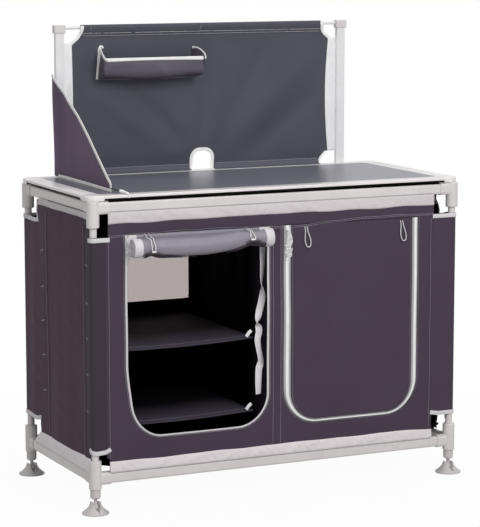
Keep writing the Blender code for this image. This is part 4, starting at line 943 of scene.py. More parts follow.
def cloth_walls():
    """The four walls, each a grid that follows its plan line and relief, with its holes cut out."""
    left, right = NOTCHES[-1, -1], NOTCHES[1, -1]
    grid = CLOTH_GRID
    wraps = [-LEG_X - QUARTER, -LEG_X, -LEG_X + left[0], *LEFT_DOOR[:2]]
    wraps += [*RIGHT_DOOR[:2], LEG_X - right[0], LEG_X, LEG_X + QUARTER]
    columns = steps([-FRONT_END, *wraps, FRONT_END], grid)
    rows = steps([WALL_LOW, left[2], right[2], NOTCH_FLOOR, DOOR_TOP, WALL_HIGH], grid)
    data = cut_cloth("front_wall", FRONT, columns, rows, front_holes, strip=lambda u: u < STRIP[0])
    thick = sizes().cloth
    rails = ["upper_rail_front", "lower_rail_front"]
    add_sheet(
        data, "cloth", thick, "stretched", rails, replaces=["front_panel"], other="strip", inner="inside"
    )

    for name, side, wall, holes in (("left", -1, LEFT, left_holes), ("right", 1, RIGHT, right_holes)):
        reach, top = NOTCHES[-1, 1][1], NOTCHES[side, 1][2]
        u = steps([-SIDE_SEAM, -0.15, 0.067, LEG_Y - reach, LEG_Y, LEG_Y + QUARTER, SIDE_END], grid)
        z = steps([WALL_LOW, top, NOTCH_FLOOR, WALL_HIGH], grid)
        data = cut_cloth(f"{name}_wall", wall, u, z, holes)
        rails = [f"upper_rail_{name}", f"lower_rail_{name}"]
        add_sheet(data, "side", thick, "stretched", rails, replaces=[f"{name}_panel"], inner="inside")

    low, high, bottom, top, _ = WINDOW
    u = steps([-REAR_SEAM, -LEG_X + NOTCHES[-1, 1][0], low, high, REAR_SEAM], grid)
    z = steps([WALL_LOW, NOTCHES[-1, 1][2], bottom, top, NOTCH_FLOOR, WALL_HIGH], grid)
    data = cut_cloth("rear_wall", REAR, u, z, rear_holes)
    rails = ["upper_rail_rear", "lower_rail_rear"]
    add_sheet(data, "cloth", thick, "stretched", rails, replaces=["rear_panel"], inner="inside")

    over, net = 0.006, 0.0006
    u, z = steps([low - over, high + over], TRIM_GRID), steps([bottom - over, top + over], TRIM_GRID)
    data = cut_cloth("window_net", REAR, u, z, lambda a, b: -window_distance(a, b, 0.004), -net)
    add_sheet(data, "net", net, "stretched", ["rear_wall"], replaces=["rear_window"])


def ribbon(name, wall, edges, lifts, finish, thick=0.0007, replaces=()):
    """A flat tape on a wall between two edge lines of (u, z), standing up by the given lifts across it."""
    first, last = (np.asarray(edge, float) for edge in edges)
    share = np.linspace(0, 1, len(lifts))[:, None, None]
    spots = first[None] * (1 - share) + last[None] * share
    points = wall.place(spots[..., 0], spots[..., 1], np.asarray(lifts)[:, None])
    data = surface(name, points, flip=wall.outward < 0)
    return add_piece(data, finish, replaces=replaces, thick=thick)


def rail_bands():
    """The pale sleeves along the rails: thin crumpled bands whose free edge waves a little.

    A band runs from its waving hem to the rail. It stands out by half a sine across it, with
    two sums of small waves added.
    """
    left, right = NOTCHES[-1, -1], NOTCHES[1, -1]
    rear_left = NOTCHES[-1, 1]
    runs = (
        ("front", "front", FRONT, -LEG_X + left[0], LEG_X - right[0], 0),
        ("front_side", "front", FRONT, -FRONT_END, -LEG_X - QUARTER, 1),
        ("left", "left", LEFT, -SIDE_SEAM, LEG_Y - rear_left[1], 1),
        ("right", "right", RIGHT, -LEG_Y + right[1], LEG_Y, 1),
        ("rear", "rear", REAR, -LEG_X + rear_left[0], REAR_SEAM, 1),
    )
    share = np.linspace(0, 1, 9)[:, None]
    arch = np.sin(np.pi * share)
    for name, side, wall, start, end, kind in runs:
        u = steps([start, end], 0.004)
        crumple = 0.001 * ripple(u[None] + 0.018 * share, share * 0.02, 41, 0.036)
        crumple = (crumple + 0.0006 * ripple(u[None] - 0.02 * share, share * 0.02, 42, 0.016)) * arch
        lift = 0.0012 + np.maximum(crumple, -0.0008) + 0.0012 * arch**0.5
        upper = BAND_TOP[kind] + 0.0018 * ripple(u, u * 0, 43, 0.13)
        lower = BAND_LOW[kind] + 0.001 * ripple(u, u * 0, 47, 0.13)
        slant = 0
        if name == "front":
            lower = lower + 0.001 * ease(u, 0.2, 0.33) - 0.005 * ease(u, 0.34, 0.45)
        if name == "left":
            slant = 0.055 * share * ease(u, end - 0.08, end)[None]
        tuck = 0.0026 * ease(share, 0.88, 1.0)
        # The upper bands take the darker copy of the sleeve cloth and the lower ones the lighter copies:
        # painted shade and painted light
        for place, hem, rail, finish, low_slant, low_lift in (
            ("upper", upper, WALL_HIGH + BAND_PAST_RAIL, "band_upper", 0, lift),
            ("lower", lower, WALL_LOW - BAND_PAST_RAIL,
             "band_lower" if name == "front" else "band_side", slant, lift - tuck),
        ):
            z = hem[None] + (rail - hem[None]) * share
            points = wall.place(u[None] + low_slant, z, low_lift)
            flip = (wall.outward < 0) != (place == "lower")
            data = surface(f"band_{place}_{name}", points, flip=flip)
            add_sheet(data, finish, 0.0008, "stretched", [f"{side}_wall"])


def doorway_line(door, bands, share, top=DOOR_TOP):
    """The doorway's outline at share 0 or the line inside its tape at share 1, from the top left."""
    low, high = door[0] + bands[0] * share, door[1] - bands[1] * share
    bottom, radius = door[2] + bands[2] * share, door[3] - (bands[0] + bands[1]) / 2 * share
    sides = int((top - door[2]) / 0.006)
    left = np.stack([np.full(sides, low), np.linspace(top, bottom + radius, sides)], 1)
    right = np.stack([np.full(sides, high), np.linspace(bottom + radius, top, sides)], 1)
    floor = np.linspace(low + radius, high - radius, 40)
    base = np.stack([floor, np.full(40, bottom)], 1)
    turn = arc_points(low + radius, bottom + radius, radius, 180, 270, 22)[1:-1]
    back = arc_points(high - radius, bottom + radius, radius, 270, 360, 22)[1:-1]
    line = np.vstack([left, turn, base, back, right])
    line[:, 0] += hang(line[:, 0], line[:, 1], door)
    return line


def on_front(line, lift=0.0):
    """Points of an (x, z) line on the front wall."""
    return FRONT.place(line[:, 0], line[:, 1], lift)


def zip_bands():
    """The U-shaped zip covers round both doorways, their piping, coils, stitches and ruffles."""
    left = [doorway_line(LEFT_DOOR, LEFT_BAND, share) for share in (-0.15, 1.0)]
    lifts = (-0.0004, 0.0012, 0.0017, 0.0017, 0.0012, 0.0004)
    ribbon("left_zip_cover", FRONT, left, lifts, "tape", replaces=["left_zip_tape"])
    right = [doorway_line(RIGHT_DOOR, RIGHT_BAND, share) for share in (-0.05, 1.0)]
    lifts = (-0.0004, 0.001, 0.002, 0.0023, 0.0023, 0.002, 0.0012, -0.0002)
    # The band's edges are a darker copy of the tape: painted shade beside the raised white middle
    ribbon("right_zip_cover", FRONT, right, lifts, "painted_shade_margin", replaces=["right_zip_tape"])
    ridge = [doorway_line(RIGHT_DOOR, RIGHT_BAND, share) for share in (0.2, 0.68)]
    ribbon("right_zip_ridge", FRONT, ridge, (0.0023, 0.0031, 0.0034, 0.0034, 0.0031, 0.0023), "white")
    inner = on_front(doorway_line(LEFT_DOOR, LEFT_BAND, 1.0), 0.0004)
    add_sweep("left_piping", inner, FORWARD, round_profile(0.0022, 8), "tape")
    pitch = 0.0021
    coil = on_front(doorway_line(LEFT_DOOR, LEFT_BAND, 1.12, DOOR_TOP - 0.004), -0.0006)
    coil = resampled(coil, pitch)
    teeth = stitch_grids(coil, FORWARD, pitch=pitch, length=0.0012, width=0.0036, height=0.0016)
    add_joined("left_zip_coil", teeth, "dark")
    lines = [
        (on_front(doorway_line(door, bands, share)), FORWARD)
        for door, bands, share in (
            (LEFT_DOOR, LEFT_BAND, -0.45), (LEFT_DOOR, LEFT_BAND, -0.9), (RIGHT_DOOR, RIGHT_BAND, -0.22)
        )
    ]
    stitches("doorway_stitches", lines)
    ruffle("left_ruffle", LEFT_DOOR[0] + 0.0075, DOOR_TOP - 0.004, 0.064, 0.012)
    ruffle("right_ruffle", RIGHT_DOOR[0] + 0.012, DOOR_TOP - 0.006, 0.106, 0.016)


def ruffle(name, x, top, run, width):
    """The gathered end of a zip tape: it sways from side to side and stands out in uneven folds.

    Both the sway and the folds are sines of an uneven beat along the run, swelling and fading
    with it.
    """
    t = np.linspace(0, 1, 90)
    s = np.linspace(-0.5, 0.5, 9)[:, None]
    cycle = 2 * np.pi
    swell = np.sin(np.pi * np.clip(t * 1.15, 0, 1)) ** 0.6
    beat = 4.5 * t + 0.25 * np.sin(cycle * 1.7 * t)
    u = x + s * width * (0.45 + 0.75 * swell) + 0.0026 * np.sin(cycle * beat) * swell
    z = top - run * t + 0.006 * s * np.sin(cycle * 1.4 * beat + 1)
    wave = 0.0026 + 0.0042 * np.abs(np.sin(cycle * (beat + 0.35 * s))) + 0.0012 * ripple(u, z, 57, 0.012)
    lift = wave * swell * (1 - 0.25 * (2 * s) ** 2) + 0.0012
    add_piece(surface(name, FRONT.place(u, z, lift)), "tape", thick=0.0007)


# Heights of the seam above the doors: (x, height)
TOP_SEAM = (
    (-0.47, 0.7005, 0), (-0.36, 0.703, 0), (-0.25, 0.704, 0), (-0.14, 0.7035, 0),
    (-0.03, 0.6995, 0), (0.04, 0.6975, 0), (0.12, 0.7025, 0), (0.2, 0.7075, 0),
    (0.31, 0.7095, 0), (0.4, 0.7085, 0), (0.48, 0.706, 0),
)
LEFT_MIDDLE, RIGHT_MIDDLE = 0.053, 0.067


def seam_lines():
    """Felled seams and the double row of stitches above the doors."""
    z = np.linspace(WALL_LOW + 0.036, NOTCH_FLOOR - 0.004, 110)
    tall = np.linspace(WALL_LOW + 0.034, WALL_HIGH - 0.028, 130)
    for name, wall, u, heights, finish in (
        ("front_left_seam", FRONT, STRIP[0], z, "cloth"),
        ("front_right_seam", FRONT, STRIP[1] - 0.002, z, "cloth"),
        ("left_front_seam", FRONT, -FRONT_END + 0.002, tall, "side"),
        ("left_middle_seam", LEFT, LEFT_MIDDLE, tall, "side"),
        ("right_front_seam", RIGHT, -SIDE_SEAM + 0.002, z, "side"),
        ("right_middle_seam", RIGHT, RIGHT_MIDDLE, tall, "side"),
    ):
        edges = [np.stack([np.full_like(heights, u + half), heights], 1) for half in (0.0045, -0.0045)]
        ribbon(name, wall, edges, (0.0, 0.0007, 0.0008, 0.0008, 0.0007, 0.0), finish, 0.0006)
    lines = []
    x = np.linspace(-LEG_X + NOTCHES[-1, -1][0] + 0.004, LEG_X - NOTCHES[1, -1][0] - 0.004, 260)
    route = smooth_route(TOP_SEAM, 300)
    for drop in (0.0, 0.0038):
        height = np.interp(x, route[:, 0], route[:, 1]) + 0.0006 * np.sin(x * 60) - drop
        lines.append((FRONT.place(x, height, 0.0003), FORWARD))
    between = np.linspace(WALL_LOW + 0.034, NOTCH_FLOOR - 0.004, 100)
    for place in (-0.0215, 0.0):
        lines.append((FRONT.place(np.full_like(between, place), between, 0.0002), FORWARD))
    for wall, u, height in (
        (FRONT, STRIP[0] + 0.0036, z),
        (FRONT, STRIP[1] - 0.0056, z),
        (LEFT, LEFT_MIDDLE + 0.0035, tall),
        (RIGHT, RIGHT_MIDDLE + 0.0035, tall),
        (LEFT, -SIDE_SEAM + 0.003, tall),
    ):
        places = np.full_like(height, u)
        lines.append((wall.place(places, height, 0.0009), wall.out(places)))
    stitches("seam_stitches", lines, width=0.0012)


def bartacks():
    """Short pale bars of dense stitches on the side walls at the shelf tapes."""
    bars = []
    for wall, u, half in (
        (FRONT, -FRONT_END + 0.016, 0.004),
        (LEFT, 0.086, 0.009),
        (RIGHT, -SIDE_SEAM + 0.052, 0.009),
        (RIGHT, 0.086, 0.009),
    ):
        line = np.linspace(u - half, u + half, 5)
        for z in (0.627, 0.532, 0.443, 0.352, 0.258):
            spots = wall.place(line, z - (line - u) * 0.25, 0.0004)
            bars.append(stitch_grids(spots, wall.out(line), 0.0045, 0.0052, 0.0022, 0.0012))
    add_joined("side_bartacks", np.concatenate(bars), "thread")


def notch_bindings():
    """Pale tape bound along the edges of the openings round the legs: bars along lines of (u, z)."""
    flat, slim = tape_profile(0.011, 0.0026, 14), tape_profile(0.006, 0.002, 12)
    stop = -LEG_X - QUARTER
    left = -LEG_X + NOTCHES[-1, -1][0]
    right = LEG_X - NOTCHES[1, -1][0]
    rear = LEG_Y - NOTCHES[-1, 1][1]
    hem = -LEG_X + 0.066
    upper = np.linspace(NOTCH_FLOOR, WALL_HIGH - 0.002, 14)
    lower = np.linspace(WALL_LOW + 0.001, NOTCHES[1, -1][2], 14)
    rise = [(left + 0.003, 0.163), (left - 0.01, 0.1565), (-LEG_X, 0.1545), (stop + 0.002, 0.158)]
    step = [(-SIDE_SEAM, 0.7), (-0.182, 0.698), (-0.165, 0.6935), (-0.142, 0.69)]
    fall = [(right - 0.004, 0.1725), (right + 0.02, 0.168), (FRONT_END, 0.168)]
    for name, wall, points, profile in (
        ("binding_upper_fl", FRONT, [(left + 0.004, 0.6905), (stop - 0.004, 0.6905)], flat),
        ("binding_lower_fl", FRONT, [*rise, (stop - 0.004, 0.165)], flat),
        ("binding_upper_fr", FRONT, [(right - 0.003, 0.7), (FRONT_END, 0.7)], flat),
        ("binding_lower_fr", FRONT, fall, flat),
        ("edge_upper_fr", RIGHT, list(zip(right_edge(upper), upper)), slim),
        ("edge_lower_fr", RIGHT, list(zip(right_edge(lower), lower)), slim),
        ("side_upper_fr", RIGHT, step, slim),
        ("side_lower_fr", RIGHT, [(-SIDE_SEAM, 0.168), (-0.147, 0.168)], flat),
        ("binding_upper_rl", LEFT, [(rear - 0.004, 0.703), (rear + 0.03, 0.7), (SIDE_END, 0.7)], flat),
        ("edge_upper_rl", LEFT, [(rear, NOTCH_FLOOR), (rear + 0.012, WALL_HIGH - 0.002)], slim),
        ("binding_lower_rl", LEFT, [(rear - 0.004, 0.18), (rear + 0.02, 0.1735), (SIDE_END, 0.1735)], flat),
        ("rear_upper_rl", REAR, [(-REAR_SEAM, 0.7), (hem, 0.7)], flat),
        ("rear_lower_rl", REAR, [(-REAR_SEAM, 0.1735), (hem, 0.1735)], flat),
        ("binding_upper_rr", RIGHT, [(LEG_Y - 0.006, 0.6905), (SIDE_END, 0.6905)], flat),
        ("binding_lower_rr", RIGHT, [(LEG_Y - 0.006, 0.161), (SIDE_END, 0.161)], flat),
    ):
        lift = 0.0003 if name.startswith("edge") else 0.0006
        line = resampled([(u, z, 0) for u, z in points], 0.003)
        path = wall.place(line[:, 0], line[:, 1], lift)
        add_sweep(name, path, wall.out(line[:, 0]), profile, "tape")


# Doors


def roll_pinch(x):
    """How far the ties draw the roll in."""
    return sum(depth * np.exp(-(((x - tie) / wide) ** 2)) for tie, (depth, wide) in zip(TIES, PINCH))


def roll_sag(x):
    """How far the roll hangs down between its ties; its right end is tied higher."""
    share = np.clip((x - TIES[0]) / (TIES[1] - TIES[0]), 0, 1)
    return 0.0035 * np.sin(np.pi * share) - 0.007 * ease(x, -0.24, -0.1)


def rolled_door():
    """The left door rolled up: a spiral in plan of the side, drawn in at its ties and sagging between.

    Its radius shrinks by a sheet's thickness each turn. The first turn is flat at the rear,
    where a short hem leads up to the doorway's top.
    """
    turns, around, sheet = 4, 44, 0.0048
    grid = 0.0045
    taped = (ROLL[0] + ROLL_TAPE, ROLL[1] - ROLL_TAPE)
    x = steps([ROLL[0], taped[0], *TIES, taped[1], ROLL[1]], grid)
    turn = np.linspace(0, turns, turns * around + 1)[:, None]
    angle = -2 * np.pi * turn
    fade = 1 - turn / turns
    rear = np.where(turn < 1, np.maximum(0, np.cos(angle)), 0)
    free = fade * (1 - rear)
    ends = (x < taped[0] + 0.0005) | (x > taped[1] - 0.0005)
    radius = ROLL_RADIUS - sheet * turn - roll_pinch(x) * fade * (1 - rear)
    folds = 0.0006 * ripple(x[None], angle * 0.03, 53, 0.07) * free * ~ends
    radius = radius + folds - 0.0004 + 0.0004 * ends
    y = ROLL_Y + radius * np.cos(angle)
    z = ROLL_Z - roll_sag(x)[None] * (1 - rear) + radius * np.sin(angle)
    hem = np.linspace(DOOR_TOP - 0.0005, ROLL_Z, 6)[:-1, None]
    y = np.vstack([np.broadcast_to(ROLL_Y + ROLL_RADIUS, (5, len(x))), y])
    z = np.vstack([np.broadcast_to(hem, (5, len(x))), z])
    points = np.stack([np.broadcast_to(x, y.shape), y, z], -1)
    between = (x[:-1] + x[1:]) / 2
    marked = (between < taped[0]) | (between > taped[1])
    marked = np.broadcast_to(marked, (len(y) - 1, len(x) - 1))
    data = surface("door_roll", points, marked=marked)
    add_sheet(data, "lining", 0.003, "gathered", ["front_wall"], replaces=["rolled_door"], other="tape")
    inner_turn = 266
    for name, marks, angles in (
        ("left", (-0.396, -0.36, -0.3, -0.25), (206, 218, 238, 262)),
        ("right", (-0.17, -0.144, -0.1, -0.0645), (262, 224, 214, 208)),
    ):
        x = steps(marks, grid)
        share = np.linspace(0, 1, 9)[:, None]
        reach = np.interp(x, marks, angles) + 2 * np.sin(x * 160) - inner_turn
        angle = np.radians(inner_turn + reach * share)
        points = roll_points(x + 0 * share, 0.0012, np.cos(angle), np.sin(angle))
        data = surface(f"roll_outer_{name}", points, flip=True)
        add_sheet(data, "strip", 0.0008, "gathered", ["door_roll"])


def roll_points(x, lift, forward, up):
    """Points on the rolled door's outer turn, lifted off it, in a direction seen from its axis."""
    away = ROLL_RADIUS - roll_pinch(x) + lift
    return np.stack([x, ROLL_Y + away * forward, ROLL_Z - roll_sag(x) + away * up], -1)


def roll_ties():
    """Two doubled elastic cords over the roll, each drawn together by a black toggle with a pale bead;
    each toggle is made long enough to take in the dark under it, partly painted shadow.
    """
    cords, bars, beads = [], [], []
    for tie, top, low, turn, half in (
        (TIES[0], 0.005, 0.0036, 204, 0.014), (TIES[1] - 0.0025, 0.0022, 0.0058, 184, 0.021)
    ):
        centre_z = ROLL_Z - float(roll_sag(tie))
        radius = ROLL_RADIUS - float(roll_pinch(tie)) + 0.0012
        wrap = arc_points(ROLL_Y, centre_z, radius, 80, turn, 36)
        line = np.vstack([[(-FACE_Y - 0.0012, DOOR_TOP + 0.001)], wrap])
        share = np.linspace(0, 1, len(line))
        for side in (-1, 1):
            spread = side * (top + (low - top) * share) + 0.0012 * np.sin(2.5 * np.pi * share + side)
            path = np.stack([tie + spread, line[:, 0], line[:, 1]], 1)
            cords.append(swept(path, (1, 0, 0), round_profile(0.0021, 8)))
        # The black bars stretch over the dark under each tie: partly the black toggle, partly painted shadow
        for reach, lift, wide, high, made, lower in (
            (half, 0.0024, 0.007, 0.0046, bars, 14), (0.0066, 0.004, 0.0046, 0.0032, beads, -1)
        ):
            down = math.radians(turn + lower)
            spots = np.linspace(-1, 1, 9)
            path = roll_points(tie + spots * reach, lift, math.cos(down), math.sin(down))
            facing = (0, math.cos(down), math.sin(down))
            made.append(swept(path, facing, tape_profile(wide, high, 16, 0.8), scale=1 - 0.65 * spots**4))
    add_joined("roll_tie_cords", cords, "white", replaces=["roll_tie_left", "roll_tie_right"])
    add_joined("roll_tie_toggles_and_shadow", bars, "dark", crisp=40)
    add_joined("roll_tie_beads", beads, "white")


# The closed door's cloth inside its tape: left, right, bottom and corner radius
DOOR_CLOTH = (
    RIGHT_DOOR[0] + RIGHT_BAND[0],
    RIGHT_DOOR[1] - RIGHT_BAND[1],
    RIGHT_DOOR[2] + RIGHT_BAND[2],
    RIGHT_DOOR[3] - (RIGHT_BAND[0] + RIGHT_BAND[1]) / 2,
)
HINGE_BAND = 0.008


def door_relief(x, z):
    """The closed door stands out a little, with slack folds that run down from its top."""
    low, high = DOOR_CLOTH[:2]
    u = np.clip((x - low) / (high - low), 0, 1)
    v = np.clip((z - RIGHT_DOOR[2]) / (DOOR_TOP - RIGHT_DOOR[2]), 0, 1)
    crown = np.sin(np.pi * u) * np.sin(np.pi * v)
    folds = 0.0011 * ripple(x, z * 0.6, 61, 0.15) * crown
    drags = crease(x, z, (0.09, 0.69), (0.16, 0.34), 0.014, 0.0016)
    drags = drags + crease(x, z, (0.35, 0.69), (0.28, 0.4), 0.016, 0.0014)
    return front_relief(x, z) + 0.0045 * crown + folds + drags * np.sin(np.pi * v)


DOOR = Wall([(-LEG_X, -FACE_Y), (LEG_X, -FACE_Y)], -LEG_X, 1, door_relief)


def closed_door():
    """The right door: a grid drawn onto its U-shaped outline, and stitched."""
    low, high, bottom, _ = DOOR_CLOTH
    u, z = steps([low, high], CLOTH_GRID), steps([bottom, DOOR_TOP - 0.0006], CLOTH_GRID)
    data = cut_cloth(
        "door_cloth", DOOR, u, z, lambda a, b: -door_distance(a, b, DOOR_CLOTH, DOOR_TOP + 0.01)
    )
    thick = sizes().cloth
    thing = add_piece(data, "cloth", None, replaces=["right_door"], thick=thick)
    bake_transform(thing)
    declare_sheet(thing)
    line = doorway_line(RIGHT_DOOR, RIGHT_BAND, 1.22, DOOR_TOP - HINGE_BAND - 0.001)
    spots = DOOR.place(line[:, 0], line[:, 1], 0.0002)
    stitches("door_stitches", [(spots, FORWARD)], "right_door_flap")


def add_cord(name, path, diameter, finish, body, replaces):
    """A braided cord as a tube whose rings lie on its path, with domed ends."""
    out = np.array((0.0, -1.0, 0.02))
    thing = add_piece(sweep(name, path, out, round_profile(diameter)), finish, body, replaces=replaces)


# A hanging loop's left half: shares of its half width, of its drop and of its way out
LOOP_ROUTE = ((0.4, 0.0, 0.0), (0.48, 0.25, 0.4), (1.0, 0.65, 1.0), (0.75, 0.93, 1.0), (0.0, 1.0, 1.0))
LOOP_HALF, LOOP_TOP, LOOP_DROP, LOOP_OUT, LOOP_LEAN = 0.0078, 0.694, 0.053, 0.0024, 0.006


def door_loops():
    """Two thin cord loops that hang from the top seam of the closed door."""
    diameter = 0.0026
    start_y = -FACE_Y - 0.0006 - diameter / 2
    for name, x in (("left", 0.071), ("right", 0.352)):
        knots = [
            (x - across * LOOP_HALF, start_y - LOOP_OUT * reach, LOOP_TOP - LOOP_DROP * down)
            for across, down, reach in LOOP_ROUTE
        ]
        knots += [(2 * x - a, y, z) for a, y, z in knots[-2::-1]]
        path = smooth_route(knots, 55)
        down = (LOOP_TOP - path[:, 2]) / LOOP_DROP
        lean = LOOP_LEAN * down
        stand = door_relief(path[:, 0] + lean, path[:, 2]) * down
        path = path + np.stack([lean, -stand, 0 * lean], 1)
        add_cord(
            f"hanging_loop_{name}", path, diameter, "tape", "right_door_flap",
            [f"door_loop_{name}"],
        )


# Inside


def shelf_point(low, high, height, u, v):
    """A shelf's top: slack across the bay by half a sine, more so at its front edge."""
    dip = 0.007 * np.sin(np.pi * u) * (1 - v / 2)
    small = 0.0006 * ripple(u * 0.45, v * 0.43, 71, 0.12) * np.sin(np.pi * u)
    back = FACE_Y - 0.0017
    y = SHELF_FRONT + (back - SHELF_FRONT) * v
    return np.stack([low + (high - low) * u, y, height - dip + small - 0.0006], -1)


def shelves():
    """The four sagging shelves with their hemmed and stitched fronts and their webbing tabs."""
    wall, beside, leg = FACE_X - 0.0019, 0.0393, 0.0105
    hem = tape_profile(0.006, 0.0052, 14, 0.8)
    tabs = []
    for side, away, low, high in (
        ("left", 1, -wall, DIVIDER_X - beside), ("right", -1, DIVIDER_X + beside, wall)
    ):
        inner = high if side == "left" else low
        for level, height in zip(("lower", "upper"), SHELF_TOPS):
            u, v = np.meshgrid(np.linspace(0, 1, 80), np.linspace(0, 1, 70))
            points = shelf_point(low, high, height, u, v)
            points[..., 2] -= 0.0008 * np.exp(-(((v - 0.035) / 0.012) ** 2))
            behind_leg = (np.abs(points[..., 0]) > LEG_X - leg) & (points[..., 1] > LEG_Y - leg)
            keep = ~face_corners(behind_leg).any(0)
            data = surface(f"shelf_{side}_{level}", points, keep=keep)
            rests_on = ["divider_cloth", f"{side}_wall"]
            replaces = [f"{side}_shelf_{level}"]
            add_sheet(data, "shelf", sizes().shelf, "stretched", rests_on, replaces=replaces)
            u = np.linspace(0, 1, 120)
            edge = shelf_point(low, high, height, u, 0 * u) + (0, 0.0006, -0.0018)
            add_sweep(f"shelf_hem_{side}_{level}", edge, UPWARD, hem, "hem")
            row = shelf_point(low, high, height, u, 0 * u + 0.05) + (0, 0, 0.0003)
            stitches(f"shelf_stitches_{side}_{level}", [(row, UPWARD)])
            start = np.array((inner - away * 0.02, SHELF_FRONT - 0.003, height + 0.0015))
            path = start + np.array((away * 0.013, -0.003, 0.0155)) * np.linspace(0, 1, 12)[:, None]
            path[:, 2] += 0.002 * np.sin(np.linspace(0, np.pi, 12))
            tabs.append(swept(path, (0, -1, 0.2), tape_profile(0.0088, 0.002, 16, 0.4)))
    add_joined("shelf_tabs", tabs, "white", crisp=50)


def floor_and_divider():
    """The floor with its cut corners, and the divider: planes with a few soft waves."""
    half_x, half_y = FACE_X - 0.0021, FACE_Y - 0.0021
    x, y = np.meshgrid(steps([-half_x, half_x], 0.012), steps([-half_y, half_y], 0.012))
    cut = 0.049 + 0.026 * (x > 0) * (y < 0) + 0.045 * (x < 0) * (y > 0)
    over = np.maximum((np.abs(x) - half_x) + (np.abs(y) - half_y) + cut, 0) / 2
    x, y = x - np.sign(x) * over, y - np.sign(y) * over
    z = FLOOR_TOP - 0.0004 + 0.0003 * ripple(x, y, 73, 0.16)
    keep = ~face_corners(over > 0).all(0)
    data = surface("floor_cloth", np.stack([x, y, z], -1), keep=keep)
    rails = ["lower_rail_front", "lower_rail_rear"]
    add_sheet(data, "inside", 0.0024, "stretched", rails, replaces=["floor_panel"])

    heights = steps([FLOOR_TOP + 0.0006, WALL_HIGH - 0.002], 0.008)
    y, z = np.meshgrid(steps([-half_y + 0.002, half_y], 0.008), heights)
    slack = 0.003 * ripple(y * 1.4, z * 0.5, 79, 0.16)
    slack = slack * np.sin(np.pi * (y + half_y) / (2 * half_y)) * taut(z)
    held = np.maximum.reduce([np.exp(-(((z - top) / 0.02) ** 2)) for top in SHELF_TOPS])
    slack = slack * (1 - 0.9 * held)
    data = surface("divider_cloth", np.stack([DIVIDER_X + 0.0008 + slack, y, z], -1))
    rails = ["upper_rail_front", "upper_rail_rear"]
    add_sheet(data, "divider", 0.0016, "hung", rails, replaces=["divider_panel"])


# The strap's route: x, height and turn about its length in radians
STRAP_ROUTE = (
    (-0.0385, 0.672, 0.0), (-0.0385, 0.641, 0.15), (-0.0392, 0.593, 0.5), (-0.0412, 0.556, 0.9),
    (-0.0392, 0.536, 1.55), (-0.0405, 0.508, 2.4), (-0.0485, 0.4756, 2.75), (-0.052, 0.455, 3.6),
    (-0.0515, 0.446, 4.71), (-0.049, 0.434, 5.8), (-0.0484, 0.4234, 6.1), (-0.0524, 0.4028, 6.35),
    (-0.0483, 0.3763, 6.6), (-0.0431, 0.3497, 6.5), (-0.0465, 0.3343, 5.8), (-0.0488, 0.3239, 6.0),
    (-0.0499, 0.2925, 6.25), (-0.0498, 0.2609, 6.6),
)
STRAP_Y = -0.214


def divider_strap():
    """A twisted webbing strap that runs down the divider's front edge past the shelf tabs."""
    line = smooth_route(STRAP_ROUTE, 220)
    path = np.stack([line[:, 0], np.full(len(line), STRAP_Y), line[:, 1]], 1)
    turn = line[:, 2]
    out = np.stack([np.sin(turn) * 0.9, -np.cos(turn), 0 * turn], 1)
    webbing = tape_profile(sizes().strap, 0.0014, 16, 0.4)
    add_joined("divider_strap", [swept(path, out, webbing)], "strap", crisp=60)


# Windscreen

# Folds of the screen: start, end, width and height
SCREEN_FOLDS = (
    ((-0.33, 1.03), (-0.08, 0.83), 0.026, 0.005),
    ((-0.25, 1.05), (-0.05, 0.87), 0.02, -0.0042),
    ((-0.13, 1.04), (-0.04, 0.85), 0.02, 0.0034),
    ((0.0, 1.16), (-0.005, 0.87), 0.014, -0.0036),
    ((0.045, 1.16), (0.03, 0.86), 0.02, 0.004),
    ((0.34, 1.12), (0.06, 0.84), 0.034, 0.0056),
    ((0.37, 1.02), (0.12, 0.83), 0.028, -0.0046),
    ((0.2, 1.16), (0.07, 0.92), 0.026, -0.0038),
    ((-0.36, 1.12), (-0.34, 0.86), 0.02, -0.003),
)
SCREEN_EDGE = 0.3855
SCREEN_NOTCH = 0.3545


def screen_out(x, z):
    """How far the screen stands forward: flat at its sleeve and edges, with broad diagonal folds."""
    free = ease(z, SCREEN_LOW + 0.004, SCREEN_LOW + 0.05) * (1 - ease(z, 1.13, 1.168))
    free = free * (1 - ease(np.abs(x), 0.33, 0.375))
    waves = 0.0016 * ripple(x, z * 0.8, 83, 0.3) + 0.004 * (1 - ease(z, 0.84, 1.05))
    folds = sum(crease(x, z, *fold) for fold in SCREEN_FOLDS)
    behind_pocket = 1 - ease(z, 1.03, 1.05) * (1 - ease(x, -0.03, -0.01)) * ease(x, -0.33, -0.31)
    back = 0.0095 * ease(np.abs(x), SCREEN_HALF, STRIP_HALF)
    return free * behind_pocket * (waves + folds) - back


SCREEN = Wall([(-0.45, SCREEN_Y), (0.45, SCREEN_Y)], -0.45, 1, screen_out)


def screen_edge(z):
    """Half width of the dark cloth at a height: cut back in a curve at both corners."""
    heights = (1.147, 1.1515, 1.156, 1.163, 1.175, 1.199)
    top = np.interp(z, heights, (SCREEN_EDGE, 0.3835, 0.3775, 0.369, 0.36, 0.3555))
    low = np.interp(z, (0.8, 0.812, 0.824, 0.835), (0.3525, 0.3555, 0.364, 0.376))
    return np.where(z > 1.0, top, np.where(z < STRIP_LOW, low, SCREEN_EDGE))


def screen_holes(x, z):
    """Signed distance to the arch over the cutout and to what lies past the screen's edges."""
    low, high, top = CUTOUT
    across = from_middle(x, low, high, CUTOUT_CORNER)
    arch = rounded(across, z - (top - CUTOUT_CORNER), CUTOUT_CORNER)
    return np.minimum(screen_edge(z) - np.abs(x), arch)


